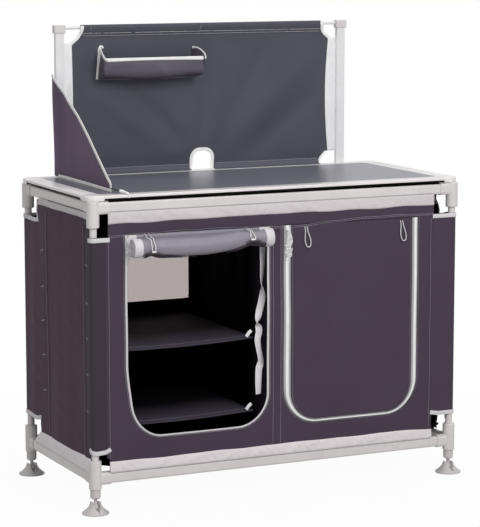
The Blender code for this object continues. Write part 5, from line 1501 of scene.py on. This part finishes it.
def screen_cloth():
    """The screen: a grid with its corners and the arch cut out, and a sleeve round the bar.

    The sleeve is a profile round the bar that runs along it, puckered where it is stitched.
    """
    u = steps([-SCREEN_EDGE, -SCREEN_NOTCH, SCREEN_NOTCH, SCREEN_EDGE], CLOTH_GRID)
    z = steps([SCREEN_LOW + 0.0012, STRIP_LOW, 1.147, 1.176], CLOTH_GRID)
    data = cut_cloth("screen_cloth", SCREEN, u, z, screen_holes)
    rests_on, replaces = ["top_bar"], ["screen_panel"]
    add_sheet(data, "screen", sizes().screen, "hung", rests_on, body="windscreen", replaces=replaces)
    seam = 1.179
    x = steps([-0.356, 0.356], TRIM_GRID)
    profile = np.vstack([
        [(SCREEN_Y - 0.0003, 1.169), (SCREEN_Y - 0.0012, 1.173), (SCREEN_Y - 0.003, seam)],
        [(POST_Y - 0.006, 1.185)],
        arc_points(POST_Y, BAR_Z, 0.0064, 188, -8, 18),
        [(POST_Y + 0.006, 1.185), (SCREEN_Y + 0.004, seam), (SCREEN_Y + 0.0022, 1.169)],
    ])
    across, height = profile[:, :1], profile[:, 1:]
    near = np.exp(-(((height - seam) / 0.006) ** 2))
    pucker = 0.0007 * ripple(x[None], height * 0.15, 89, 0.028) * near
    pucker = pucker + 0.0005 * ripple(x[None], height * 0.2, 90, 0.11)
    y = across - np.abs(pucker) * (across < POST_Y)
    data = surface("screen_sleeve", np.stack([np.broadcast_to(x, y.shape), y, height + 0 * y], -1), flip=True)
    add_sheet(data, "screen", sizes().screen, "folded", ["top_bar"], body="windscreen")


def side_strips():
    """White tapes that lace the screen's edges behind the posts; their inner edges bow in by a sine."""
    z = steps([STRIP_LOW, STRIP_HIGH], TRIM_GRID)
    share = np.linspace(0, 1, 9)[:, None]
    bow = np.sin(np.pi * (z - STRIP_LOW) / (STRIP_HIGH - STRIP_LOW))
    outer = STRIP_HALF - 0.0005
    for name, side, inner in (("left", -1, 0.3835), ("right", 1, 0.379)):
        near = inner - BOW[name] * bow
        x = side * (near + (outer - near) * share)
        lift = 0.0012 - 0.0012 * ease(np.abs(x), 0.386, 0.396) + 0.0008 * np.sin(np.pi * share) ** 0.5
        data = surface(f"screen_strip_{name}", SCREEN.place(x, z[None], lift), flip=side < 0)
        add_sheet(data, "white", 0.0009, "stretched", [f"post_{name}"], body="windscreen")


def row_of(x, y, z):
    """Points whose three parts are spread to the same length."""
    return np.stack(np.broadcast_arrays(x, y, z), 1)


def screen_trim():
    """Bindings of the cut corners and the arch, rows of stitches, and the hem at the screen's foot."""
    for name, side in (("left", -1), ("right", 1)):
        for place, heights, profile in (
            ("upper", np.linspace(1.1475, 1.1965, 26), tape_profile(0.0088, 0.0024, 14)),
            ("lower", np.linspace(0.802, 0.834, 20), tape_profile(0.0055, 0.0022, 12)),
        ):
            path = SCREEN.place(side * (screen_edge(heights) - 0.001), heights, 0.0004)
            path[:, 1] -= 0.0085 * ease(heights, 1.168, 1.188)
            add_sweep(f"screen_binding_{place}_{name}", path, FORWARD, profile, "white", "windscreen")
    low, high, top = CUTOUT
    out, foot = 0.0035, (SCREEN_LOW + 0.002, 0.812)
    radius, centre = CUTOUT_CORNER + out, top - CUTOUT_CORNER
    line = np.vstack([
        [(low - out, z) for z in foot],
        arc_points(low + CUTOUT_CORNER, centre, radius, 180, 90, 14),
        arc_points(high - CUTOUT_CORNER, centre, radius, 90, 0, 14),
        [(high + out, z) for z in foot[::-1]],
    ])
    line = resampled(np.column_stack([line, 0 * line[:, 0]]), 0.002)
    path = SCREEN.place(line[:, 0], line[:, 1], 0.0004)
    add_sweep("cutout_binding", path, FORWARD, tape_profile(0.009, 0.0026, 14), "white", "windscreen")

    x = np.linspace(-0.35, 0.35, 200)
    rows = [(row_of(x, SCREEN_Y - out, z), FORWARD) for out, z in ((0.004, 1.1762), (0.0026, 1.1696))]
    stitches("sleeve_stitches", rows, "windscreen", "tape", width=0.0018, height=0.001)
    z = np.linspace(1.178, 1.193, 6)
    y = SCREEN_Y - 0.004 - 0.0045 * ease(z, 1.178, 1.19)
    rows = [(row_of(place, y, z), FORWARD) for place in (-0.3307, -0.0117)]
    x = np.linspace(0.04, 0.35, 90)
    for run in (-x[::-1] - 0.01, x):
        rows.append((SCREEN.place(run, 0.8158 + 0.0004 * np.sin(run * 30), 0.0026), FORWARD))
    stitches("screen_stitches", rows, "windscreen", width=0.0015)

    hem = np.array((
        (0.0012, 0.8178), (0.0022, 0.8172), (0.0026, 0.811),
        (0.004, 0.8055), (0.008, 0.8026), (0.017, 0.8016),
    ))
    for name, start, end in (("left", -0.35, low - 0.008), ("right", high + 0.008, 0.35)):
        points = SCREEN.place(steps([start, end], TRIM_GRID)[None], hem[:, 1:], hem[:, :1])
        data = surface(f"screen_hem_{name}", points, flip=True)
        add_sheet(data, "foot", 0.001, "folded", ["screen_cloth"], body="windscreen")


# The pocket: (share of its reach, height) along its bottom and up its front, and the routes of
# its gussets' tops
POCKET_LEFT, POCKET_RIGHT, POCKET_REACH = -0.311, -0.034, 0.06
POCKET_FLOOR = (
    (0.0, 1.0538, 0), (0.3, 1.056, 0), (0.62, 1.0605, 0), (0.9, 1.066, 0), (1.0, 1.074, 0),
    (1.005, 1.09, 0), (1.0, 1.1085, 0),
)
POCKET_TOPS = (
    ((-0.304, 0.22, 1.137), (-0.3085, 0.208, 1.133), (-0.3125, 0.193, 1.127),
     (-0.315, 0.178, 1.12), (-0.314, 0.166, 1.113), (-0.309, 0.161, 1.108)),
    ((-0.0371, 0.222, 1.1355), (-0.032, 0.205, 1.134), (-0.028, 0.186, 1.1285),
     (-0.0262, 0.169, 1.12), (-0.0265, 0.162, 1.113), (-0.027, 0.1618, 1.1085)),
)
POCKET_EDGE = (
    (-0.3118, 1.0535, 0), (-0.308, 1.095, 0), (-0.3052, 1.133, 0), (-0.302, 1.1405, 0),
    (-0.2965, 1.14, 0), (-0.295, 1.1355, 0),
)
POCKET_BACK = SCREEN_Y - 0.0012


def pocket_front():
    """Points of the pocket's sheet: a smooth profile of (reach, height), spread and sagging along it."""
    rows = 46
    shape = smooth_route(POCKET_FLOOR, rows)
    reach, height = shape[:, :1], shape[:, 1:2]
    u = np.linspace(0, 1, 70)[None]
    rise = np.linspace(0, 1, rows)[:, None]
    spread = 0.0045 * ease(reach, 0.0, 1.0) * (1 + 0.6 * np.sin(np.pi * rise) * (u > 0.5))
    x = POCKET_LEFT - spread + (POCKET_RIGHT - POCKET_LEFT + 2 * spread) * u
    free = np.sin(np.pi * u) ** 0.6 * (1 - ease(rise, 0.8, 0.97))
    dent = 0.0022 * ripple(x, height * 1.5 + 0 * x, 97, 0.13) * free
    dent = dent + crease(x, height + 0 * x, (-0.17, 1.115), (-0.135, 1.06), 0.012, -0.003) * free
    sag = 0.007 * np.sin(np.pi * np.clip(u / 0.85, 0, 1)) * ease(rise, 0.05, 0.5)
    sag = sag * (1 - ease(rise, 0.45, 0.85))
    belly = 0.003 * np.sin(np.pi * u) * ease(rise, 0.3, 0.8) * (1 - ease(rise, 0.85, 1.0))
    y = POCKET_BACK - POCKET_REACH * reach - belly + dent
    return np.stack([x, y, height - sag + dent * 0.4], -1)


def pocket():
    """An open-topped pocket: front and bottom in one sheet and two gussets, with pale bindings.

    Each gusset spans from the sheet's edge to a smooth route of its own.
    """
    thick = sizes().screen
    front = pocket_front()
    data = surface("pocket_front", front, flip=True)
    add_sheet(data, "pocket", thick, "hung", ["screen_cloth"], body="windscreen", replaces=["screen_pocket"])
    hem = tape_profile(0.008, 0.0028, 12)
    s = np.linspace(0, 1, 14)[:, None, None]
    for name, column, side in (("left", 0, -1), ("right", -1, 1)):
        top = smooth_route(POCKET_TOPS[column], len(front))
        grid = front[:, column][None] * (1 - s) + top[None] * s
        reach = np.clip((POCKET_BACK - grid[..., 1]) / POCKET_REACH, 0, 1)
        grid[..., 0] -= side * 0.0022 * np.sin(np.pi * s[..., 0]) * np.sin(np.pi * reach)
        data = surface(f"pocket_gusset_{name}", grid, flip=side > 0)
        add_sheet(data, "pocket", thick, "hung", ["screen_cloth"], body="windscreen")
        path = resampled(top - (0, 0, 0.0028), 0.003)
        add_sweep(f"pocket_side_binding_{name}", path, LEFTWARD, hem, "white", "windscreen")
    line = resampled(smooth_route(POCKET_EDGE, 60), 0.0025)
    past_top = 0.02 * (line[:, 0] > -0.301)
    taper = np.interp(line[:, 1] + past_top, (1.0535, 1.13, 1.15), (1.0, 0.95, 0.55))
    for name, path, out, profile, scale in (
        ("top_binding", resampled(front[-1], 0.004) + (0, -0.0004, -0.0012), FORWARD,
         tape_profile(0.01, 0.0028, 14), None),
        ("back_seam", resampled(front[0], 0.004) + (0, -0.0012, 0.0), FORWARD,
         tape_profile(0.003, 0.0018, 10), None),
        ("edge_left", SCREEN.place(line[:, 0], line[:, 1], 0.0024), (-0.35, -1, 0),
         tape_profile(0.0086, 0.003, 12), taper),
    ):
        add_sweep(f"pocket_{name}", path, out, profile, "white", "windscreen", scale)


# Wing: height of its top edge at places from front to rear
WING_SLOPE = (
    (WING_FRONT, -0.12, -0.06, 0.0, 0.06, 0.12, 0.17, WING_REAR),
    (0.8225, 0.8585, 0.8965, 0.935, 0.9735, 1.006, 1.036, 1.072),
)
WING_HINGE, WING_DEPTH = 0.2314, 0.408


def wing_x(y, z):
    """The wing's plane swings out to the front; it hangs in a slight belly with upright folds."""
    splay = 0.009 * (WING_HINGE - y) / WING_DEPTH
    share = np.clip((y - WING_HINGE) / WING_DEPTH + 1, 0, 1)
    belly = 0.0022 * np.sin(np.pi * share) * (1 - ease(z, 0.8, 1.1))
    folds = 0.0012 * ripple(y, z * 0.5, 101, 0.17) * np.sin(np.pi * share) * ease(z, 0.8, 0.85)
    hem = (0.0035 + 0.009 * ease(z, 0.8, 1.066)) * ease(y, 0.15, 0.214)
    return WING_X - splay + belly + folds - hem


def wing_cloth():
    """The side wing: cloth between its foot and its sloping top edge, with a pale binding."""
    y = steps([WING_FRONT, WING_BEND, WING_REAR], TRIM_GRID)[None]
    share = np.linspace(0, 1, 46)[:, None]
    z = WING_FOOT + (np.interp(y, *WING_SLOPE) - WING_FOOT) * share
    y = y + 0.016 * ease(y, WING_BEND, WING_REAR) * (1 - share)
    grid = np.stack([wing_x(y, z), y, z], -1)
    data = surface("wing_cloth", grid, flip=True)
    add_sheet(data, "wing", sizes().screen, "hung", ["post_left"], body="wing", replaces=["wing_panel"])
    foot = resampled(np.vstack([grid[0, ::-1][5:], grid[1:, 0]]), 0.004)
    foot[:, 2] = np.maximum(foot[:, 2], WORKTOP + 0.0044)
    slope = resampled(grid[-1], 0.004) - (0, 0, 0.0022)
    for name, path, profile in (
        ("foot", foot, tape_profile(0.0082, 0.0026, 12)), ("slope", slope, tape_profile(0.0096, 0.0028, 12))
    ):
        add_sweep(f"wing_binding_{name}", path, LEFTWARD, profile, "white", "wing")


WING_CORD = ((-0.44085, -0.1772, 0.811), (-0.43416, -0.1973, 0.8087), (-0.42079, -0.238, 0.804))


def wing_cord():
    """The black elastic from the wing's front corner down to its hook on the rim."""
    path = smooth_route(WING_CORD, 30)
    add_cord("wing_elastic_cord", path, 0.004, "black", "wing", ["wing_elastic"])


# Worktop


def rim_outlines():
    """Matching outer and inner points round the worktop, with 1 where a corner moulding is.

    Both lines are worked out at one corner and mirrored to the other three. The first and last
    points are the bars' ends, and the next ones the seams beside them, marked 0 and -1.
    """
    outer, inner, kind = [], [], []
    corner = np.array((RIM_HALF_X, RIM_HALF_Y))
    centre = corner - RIM_ROUND
    run = np.linspace(0, 1, 5)[1:-1, None] * (RIM_CORNER - RIM_ROUND)
    start, end = corner - (0, RIM_CORNER), corner - (RIM_CORNER, 0)
    hold = corner - (RIM_SIDE, RIM_FRONT) - WELL_ROUND
    hold = arc_points(*hold, WELL_ROUND, 0, 90, 12)
    bend = arc_points(*centre, RIM_ROUND, 0, 90, 12)
    to_end = (centre[0], corner[1]) - run * (1, 0)
    edge = np.vstack([[start] * 3, start + run * (0, 1), bend, to_end, [end] * 3])
    well = np.vstack([[hold[0]] * 6, hold, [hold[-1]] * 6])
    for line in (edge, well):
        for row, gap in ((0, 0.0012), (1, 0.0004)):
            line[row, 1] -= gap
            line[-1 - row, 0] -= gap
    mark = np.ones(len(edge))
    mark[[1, -2]] = -1
    mark[[0, -1]] = 0
    for side in ((1, 1), (-1, 1), (-1, -1), (1, -1)):
        turn = slice(None, None, side[0] * side[1])
        outer.append(edge[turn] * side)
        inner.append(well[turn] * side)
        kind.append(mark[turn])
    return np.vstack(outer), np.vstack(inner), np.concatenate(kind)


# Sections of the rim: distance inwards from the outer edge, and height
BAR_SECTION = (
    (0.006, 0.8), (0.0032, 0.8), (0.0014, 0.7997), (0.0004, 0.7989), (0.0, 0.7977),
    (0.0, 0.797), (0.0011, 0.7966), (0.0011, 0.7959), (0.0, 0.7954), (0.0, 0.7936),
    (0.0005, 0.793), (0.0014, 0.7928), (0.012, 0.7928), (0.033, 0.7928), (0.0342, 0.7802),
)
CORNER_SECTION = (
    (0.008, 0.8008), (0.003, 0.8007), (0.001, 0.8003), (-0.0003, 0.7993), (-0.0008, 0.798),
    (-0.0008, 0.796), (-0.0008, 0.7935), (-0.0008, 0.7915), (-0.0007, 0.7902), (0.0001, 0.7897),
    (0.0001, 0.789), (-0.0003, 0.7886), (-0.0003, 0.7876), (0.0004, 0.787), (0.0202, 0.787),
)
# The same round the well's edge, where the distance is past the well's outline
WELL_SECTION = ((0.01, 0.787), (0.01, 0.79), (0.0, 0.79), (-0.0002, 0.7996), (-0.0012, 0.8))


def worktop_rim():
    """The rim: a section carried round the worktop, plain along its bars and deeper at its corners.

    Each point of the section is a distance inwards from the outer edge and a height. The bars
    have a groove along their edge and are thin below; the corner mouldings stand a little proud.
    """
    outer, inner, kind = rim_outlines()
    bar, corner = np.array(BAR_SECTION), np.array(CORNER_SECTION)
    seam = corner + (0.0016, 0.0)
    seam[:4, 1] -= 0.0014
    wide = np.linalg.norm(outer - inner, axis=1)[:, None]
    inwards = (inner - outer) / wide
    side = kind[:, None, None]
    rings = np.where(side > 0.5, corner, np.where(side < -0.5, seam, bar))
    well = [np.hstack([wide + past, 0 * wide + height]) for past, height in WELL_SECTION]
    rings = np.concatenate([rings, np.stack(well, 1)], 1)
    flat = outer[:, None] + inwards[:, None] * rings[..., :1]
    points = np.concatenate([flat, rings[..., 1:]], -1)
    points = np.concatenate([points, points[:1]])
    column = np.arange(points.shape[1])
    # The bars' undersides and the well's lower edge take the dark plastic finish: painted shade for the dark
    # gap under the rim
    underside, inner_foot = len(bar) - 4, len(bar) - 2
    dark = (column >= underside) & (column <= len(bar) + 1) & ((kind[:, None] < 0.5) | (column > inner_foot))
    data = surface("rim_ring", points, around=True, weld=True, marked=dark)
    add_piece(data, "rim", "worktop", replaces=["worktop_rim"], crisp=32, other="dark")
    tongue = tape_profile(0.0213, 0.0098, 24, 0.35)
    taper = np.array((1, 1, 1, 0.9))
    heights = np.array((0.7936, 0.794, 0.844, 0.845))
    tongues = [
        swept(row_of(side * POST_X, POST_Y, heights), (0, 1, 0), tongue, scale=taper) for side in (-1, 1)
    ]
    add_joined("rim_spigots", tongues, "plastic", "worktop", crisp=40)


def rail_painted_shadow():
    """A thin dark strip on top of the front upper rail, under the rim: painted shadow that darkens the gap
    there.
    """
    end = LEG_X - 0.026
    path = row_of(np.array((-end, 0, end)), middle("upper_rail_front")[1] - SHIFT, 0.7849)
    add_sweep("rail_painted_shadow", path, UPWARD, tape_profile(0.0172, 0.0012, 12, 0.4), "inside")


HOOK_ROUTE = (
    (-0.43, -0.2105, 0.8077), (-0.4281, -0.216, 0.8071), (-0.4255, -0.224, 0.8062),
    (-0.4215, -0.236, 0.8045), (-0.4196, -0.2418, 0.801), (-0.4188, -0.2424, 0.796),
    (-0.4184, -0.2412, 0.7922),
)


def elastic_hook():
    """The pale hook that grips the elastic and bends over the rim's front edge."""
    path = smooth_route(HOOK_ROUTE, 40)
    share = np.linspace(0, 1, len(path))
    size = np.interp(share, (0, 0.06, 0.3, 0.38, 0.6, 0.7, 1), (0.7, 1.35, 1.35, 0.95, 0.9, 0.5, 0.4))
    bend = ease(share, 0.5, 0.8)
    out = np.stack([0 * share, -bend, 1 - bend], 1)
    profile = tape_profile(0.0062, 0.0054, 16, 0.8)
    add_sweep("elastic_hook", path, out, profile, "white", "wing", size, slot="plastic")


# Studio


def finish_solids():
    """Give every solid that shows its finish."""
    for name, thing in NODES.items():
        for finish, starts in SOLIDS.items():
            if name.startswith(starts):
                thing.data.materials.clear()
                thing.data.materials.append(FINISHES[finish])
                break


def add_light(name, size, power, place, target):
    """A rectangular lamp that faces a target."""
    lamp = bpy.data.lights.new(name, "AREA")
    lamp.shape = "RECTANGLE"
    lamp.size, lamp.size_y = size
    lamp.energy = power
    thing = linked(name, lamp)
    thing.location = place
    x, y, z = np.array(target, float) - np.array(place, float)
    thing.rotation_euler = (math.atan2(math.hypot(x, y), -z), 0, math.atan2(-x, y))


def seen_share(tree):
    """1 for what the camera and mirrors see, and through glass, and 0 for all other light."""
    rays = tree.nodes.new("ShaderNodeLightPath")
    share = rays.outputs["Is Camera Ray"]
    for kind in ("Is Glossy Ray", "Is Transmission Ray"):
        either = tree.nodes.new("ShaderNodeMath")
        either.operation = "MAXIMUM"
        tree.links.new(share, either.inputs[0])
        tree.links.new(rays.outputs[kind], either.inputs[1])
        share = either.outputs[0]
    return share


def studio_camera():
    """The camera that the photograph was taken with, as solved from the object's straight edges."""
    camera = bpy.data.cameras.new("camera")
    camera.lens = 152.58
    camera.sensor_width = 36
    camera.clip_end = 90
    thing = linked("camera", camera)
    thing.location = (-2.521, -5.2862, 1.439)
    thing.rotation_euler = (math.radians(81.58), 0, math.radians(-25.42))
    bpy.context.scene.camera = thing


def studio_world():
    """White background that lights the object at a low level."""
    world = bpy.data.worlds.new("studio")
    bpy.context.scene.world = world
    world.use_nodes = True
    tree = world.node_tree
    ground = tree.nodes["Background"]
    ground.inputs["Color"].default_value = (1, 1, 1, 1)
    span = tree.nodes.new("ShaderNodeMapRange")
    span.inputs["To Min"].default_value = 0.38
    span.inputs["To Max"].default_value = 1.0
    tree.links.new(seen_share(tree), span.inputs["Value"])
    tree.links.new(span.outputs["Result"], ground.inputs["Strength"])


def studio_floor():
    """A wide pale floor that keeps the object's shadow and is white to the camera further out."""
    half = 30.0
    x, y = np.meshgrid(np.linspace(-half, half, 3), np.linspace(-half, half, 3))
    data = surface("studio_floor", np.stack([x, y, 0 * x - 0.0004], -1))
    floor = linked("studio_floor", data)
    made = Finish("Studio floor", (0.86, 0.86, 0.86), 0.9)
    place = made.places(False)
    grain = made.noise(place, 3.0, 2)
    made.shade(grain, ((0.3, (0.49, 0.49, 0.49)), (0.7, (0.51, 0.51, 0.51))))
    far = made.node("ShaderNodeVectorMath", operation="LENGTH")
    made.join(place, far, 0)
    limits = {"From Min": 0.55, "From Max": 1.5, "To Min": 0.965, "To Max": 1.0}
    fade = made.node("ShaderNodeMapRange", **limits)
    made.join(far.outputs["Value"], fade, "Value")
    share = made.sums("MULTIPLY", seen_share(made.tree), fade.outputs["Result"])
    glow = made.node("ShaderNodeEmission", Strength=1.0)
    mix = made.node("ShaderNodeMixShader")
    made.join(share, mix, "Fac")
    made.join(made.shader.outputs[0], mix, 1)
    made.join(glow.outputs[0], mix, 2)
    made.join(mix.outputs[0], made.tree.nodes["Material Output"], "Surface")
    data.materials.append(made.material)


def studio():
    """Camera, pale floor, backdrop light and soft lamps."""
    bpy.context.scene.view_settings.view_transform = "Standard"
    studio_camera()
    studio_world()
    studio_floor()
    add_light("key", (1.8, 1.8), 101, (0.15, -3.8, 3.0), (0, 0, 0.7))
    add_light("fill", (2.4, 2.0), 14, (-3.2, -2.4, 1.8), (0, 0, 0.6))
    add_light("top", (2.6, 2.0), 16, (0, 0.2, 3.6), (0, 0, 0.6))


# Add-on


def colour_setting(name, value, words):
    """A colour that a user can change."""
    return bpy.props.FloatVectorProperty(
        name=name, description=words, subtype="COLOR", size=3, min=0, max=1, default=value
    )


def size_setting(name, value, words):
    """A length that a user can change."""
    return bpy.props.FloatProperty(
        name=name, description=words, unit="LENGTH", precision=4, min=0.0001, default=value
    )


class CupboardColours(bpy.types.PropertyGroup):
    """Colours of the cupboard's finishes, as linear values."""

    tube: colour_setting("Tubes", (0.72, 0.685, 0.68), "Powder coat of legs, rails and posts")
    post: colour_setting("Posts", (0.84, 0.83, 0.84), "Coat of the windscreen's posts and bar")
    plastic: colour_setting("Connectors", (0.72, 0.685, 0.68), "Moulded corner connectors and caps")
    rim: colour_setting("Worktop rim", (0.86, 0.83, 0.83), "Extruded rim and its corners")
    pad: colour_setting("Feet", (0.62, 0.59, 0.59), "Foot pads and stems")
    board: colour_setting("Worktop", (0.155, 0.155, 0.185), "Laminate of the worktop")
    cloth: colour_setting("Cabinet", (0.0625, 0.045, 0.069), "Cloth of the front and wing")
    # A little darker than the cabinet cloth: partly painted shade for walls turned from the lamps
    side: colour_setting("Sides", (0.06, 0.0385, 0.054), "Cloth of the side walls")
    strip: colour_setting("Leg strips", (0.046, 0.034, 0.048), "Cloth round the front legs")
    lining: colour_setting("Rolled door", (0.255, 0.238, 0.282), "Coated inner face of the doors")
    screen: colour_setting("Windscreen", (0.07, 0.071, 0.092), "Cloth of the windscreen and pocket")
    pocket: colour_setting("Pocket", (0.098, 0.088, 0.115), "Cloth of the pocket")
    shelf: colour_setting("Shelves", (0.066, 0.056, 0.08), "Shelf cloth")
    # Near black: painted shade for the dim inside of the cupboard
    inside: colour_setting("Inside", (0.0015, 0.0012, 0.0018), "Floor and divider cloth")
    band: colour_setting("Rail sleeves", (0.77, 0.715, 0.74), "Pale cloth along the rails")
    tape: colour_setting("Bindings", (0.72, 0.69, 0.72), "Tapes, bindings and piping")
    white: colour_setting("Lacing tapes", (0.96, 0.95, 0.96), "Tapes beside the posts")
    strap: colour_setting("Strap", (0.84, 0.81, 0.83), "Webbing strap")
    thread: colour_setting("Thread", (0.42, 0.39, 0.44), "Sewing thread")
    net: colour_setting("Window", (0.46, 0.41, 0.405), "Net of the rear window")

class CupboardSizes(bpy.types.PropertyGroup):
    """Thicknesses of the cupboard's cloths and the sizes of its sewing."""

    cloth: size_setting("Cabinet cloth", 0.0012, "Thickness of the walls and doors")
    screen: size_setting("Windscreen cloth", 0.0013, "Thickness of the windscreen, pocket and wing")
    shelf: size_setting("Shelf", 0.004, "Thickness of a shelf with its stiffener")
    strap: size_setting("Strap", 0.0175, "Width of the divider's webbing strap")
    stitch_pitch: size_setting("Stitch pitch", 0.0044, "Distance from one stitch to the next")
    stitch_length: size_setting("Stitch length", 0.0032, "Length of a stitch")


def sizes():
    """The sizes as they are set now."""
    return bpy.context.scene.cupboard_sizes


class MakeStage(bpy.types.Operator):
    """Add the camera, the floor and the lamps, and make the finishes"""

    bl_idname = "cupboard.make_stage"
    bl_label = "Make stage and finishes"

    def execute(self, context):
        studio()
        FINISHES.update(make_finishes(context.scene.cupboard_colours))
        finish_solids()
        return {"FINISHED"}


class Maker:
    """Base of the operators, which call the functions that make their pieces in order."""

    def execute(self, context):
        for make in self.makes:
            make()
        return {"FINISHED"}


class MakeCords(Maker, bpy.types.Operator):
    """Add the door's cord loops and the wing's elastic"""

    bl_idname = "cupboard.make_cords"
    bl_label = "Make cords"
    makes = (door_loops, wing_cord)


class MakeWalls(Maker, bpy.types.Operator):
    """Add the four cloth walls and the rear window"""

    bl_idname = "cupboard.make_walls"
    bl_label = "Make walls"
    makes = (cloth_walls,)


class MakeBands(Maker, bpy.types.Operator):
    """Add the pale bands along the rails"""

    bl_idname = "cupboard.make_bands"
    bl_label = "Make rail sleeves"
    makes = (rail_bands,)


class MakeZips(Maker, bpy.types.Operator):
    """Add the zip covers, piping, coils and ruffles"""

    bl_idname = "cupboard.make_zips"
    bl_label = "Make zips"
    makes = (zip_bands,)


class MakeSeams(Maker, bpy.types.Operator):
    """Add seams, stitches and bar tacks"""

    bl_idname = "cupboard.make_seams"
    bl_label = "Make seams"
    makes = (seam_lines, bartacks)


class MakeBindings(Maker, bpy.types.Operator):
    """Add the tapes round the leg openings"""

    bl_idname = "cupboard.make_bindings"
    bl_label = "Make bindings"
    makes = (notch_bindings,)


class MakeRoll(Maker, bpy.types.Operator):
    """Add the rolled door and its ties"""

    bl_idname = "cupboard.make_roll"
    bl_label = "Make rolled door"
    makes = (rolled_door, roll_ties)


class MakeDoor(Maker, bpy.types.Operator):
    """Add the closed door"""

    bl_idname = "cupboard.make_door"
    bl_label = "Make closed door"
    makes = (closed_door,)


class MakeInside(Maker, bpy.types.Operator):
    """Add shelves, floor, divider and strap"""

    bl_idname = "cupboard.make_inside"
    bl_label = "Make inside"
    makes = (shelves, floor_and_divider, divider_strap)


class MakeScreen(Maker, bpy.types.Operator):
    """Add the screen, its trim and the pocket"""

    bl_idname = "cupboard.make_screen"
    bl_label = "Make windscreen"
    makes = (screen_cloth, side_strips, screen_trim, pocket)


class MakeWing(Maker, bpy.types.Operator):
    """Add the side wing"""

    bl_idname = "cupboard.make_wing"
    bl_label = "Make wing"
    makes = (wing_cloth,)


class MakeRim(Maker, bpy.types.Operator):
    """Add the rim, its spigots, the dark strip of painted shadow on the rail and the elastic's hook"""

    bl_idname = "cupboard.make_rim"
    bl_label = "Make worktop rim"
    makes = (worktop_rim, rail_painted_shadow, elastic_hook)


OPERATORS = (
    MakeStage, MakeCords, MakeWalls, MakeBands, MakeZips, MakeSeams, MakeBindings, MakeRoll,
    MakeDoor, MakeInside, MakeScreen, MakeWing, MakeRim,
)


class CupboardPanel(bpy.types.Panel):
    """Sidebar panel with the finishes' colours, the sizes and one button for each group of pieces."""

    bl_idname = "VIEW3D_PT_cupboard"
    bl_label = "Camp kitchen cupboard"
    bl_space_type = "VIEW_3D"
    bl_region_type = "UI"
    bl_category = "Cupboard"

    def draw(self, context):
        scene = context.scene
        for group in (scene.cupboard_sizes, scene.cupboard_colours):
            for key in type(group).__annotations__:
                self.layout.prop(group, key)
        for operator in OPERATORS:
            self.layout.operator(operator.bl_idname)


CLASSES = (CupboardColours, CupboardSizes, *OPERATORS, CupboardPanel)


def register():
    for made in CLASSES:
        bpy.utils.register_class(made)
    bpy.types.Scene.cupboard_colours = bpy.props.PointerProperty(type=CupboardColours)
    bpy.types.Scene.cupboard_sizes = bpy.props.PointerProperty(type=CupboardSizes)


def unregister():
    del bpy.types.Scene.cupboard_sizes
    del bpy.types.Scene.cupboard_colours
    for made in reversed(CLASSES):
        bpy.utils.unregister_class(made)


def main():
    """Make the cupboard."""
    register()
    for operator in OPERATORS:
        getattr(bpy.ops.cupboard, operator.bl_idname.split(".")[1])()


if __name__ == "__main__":
    main()
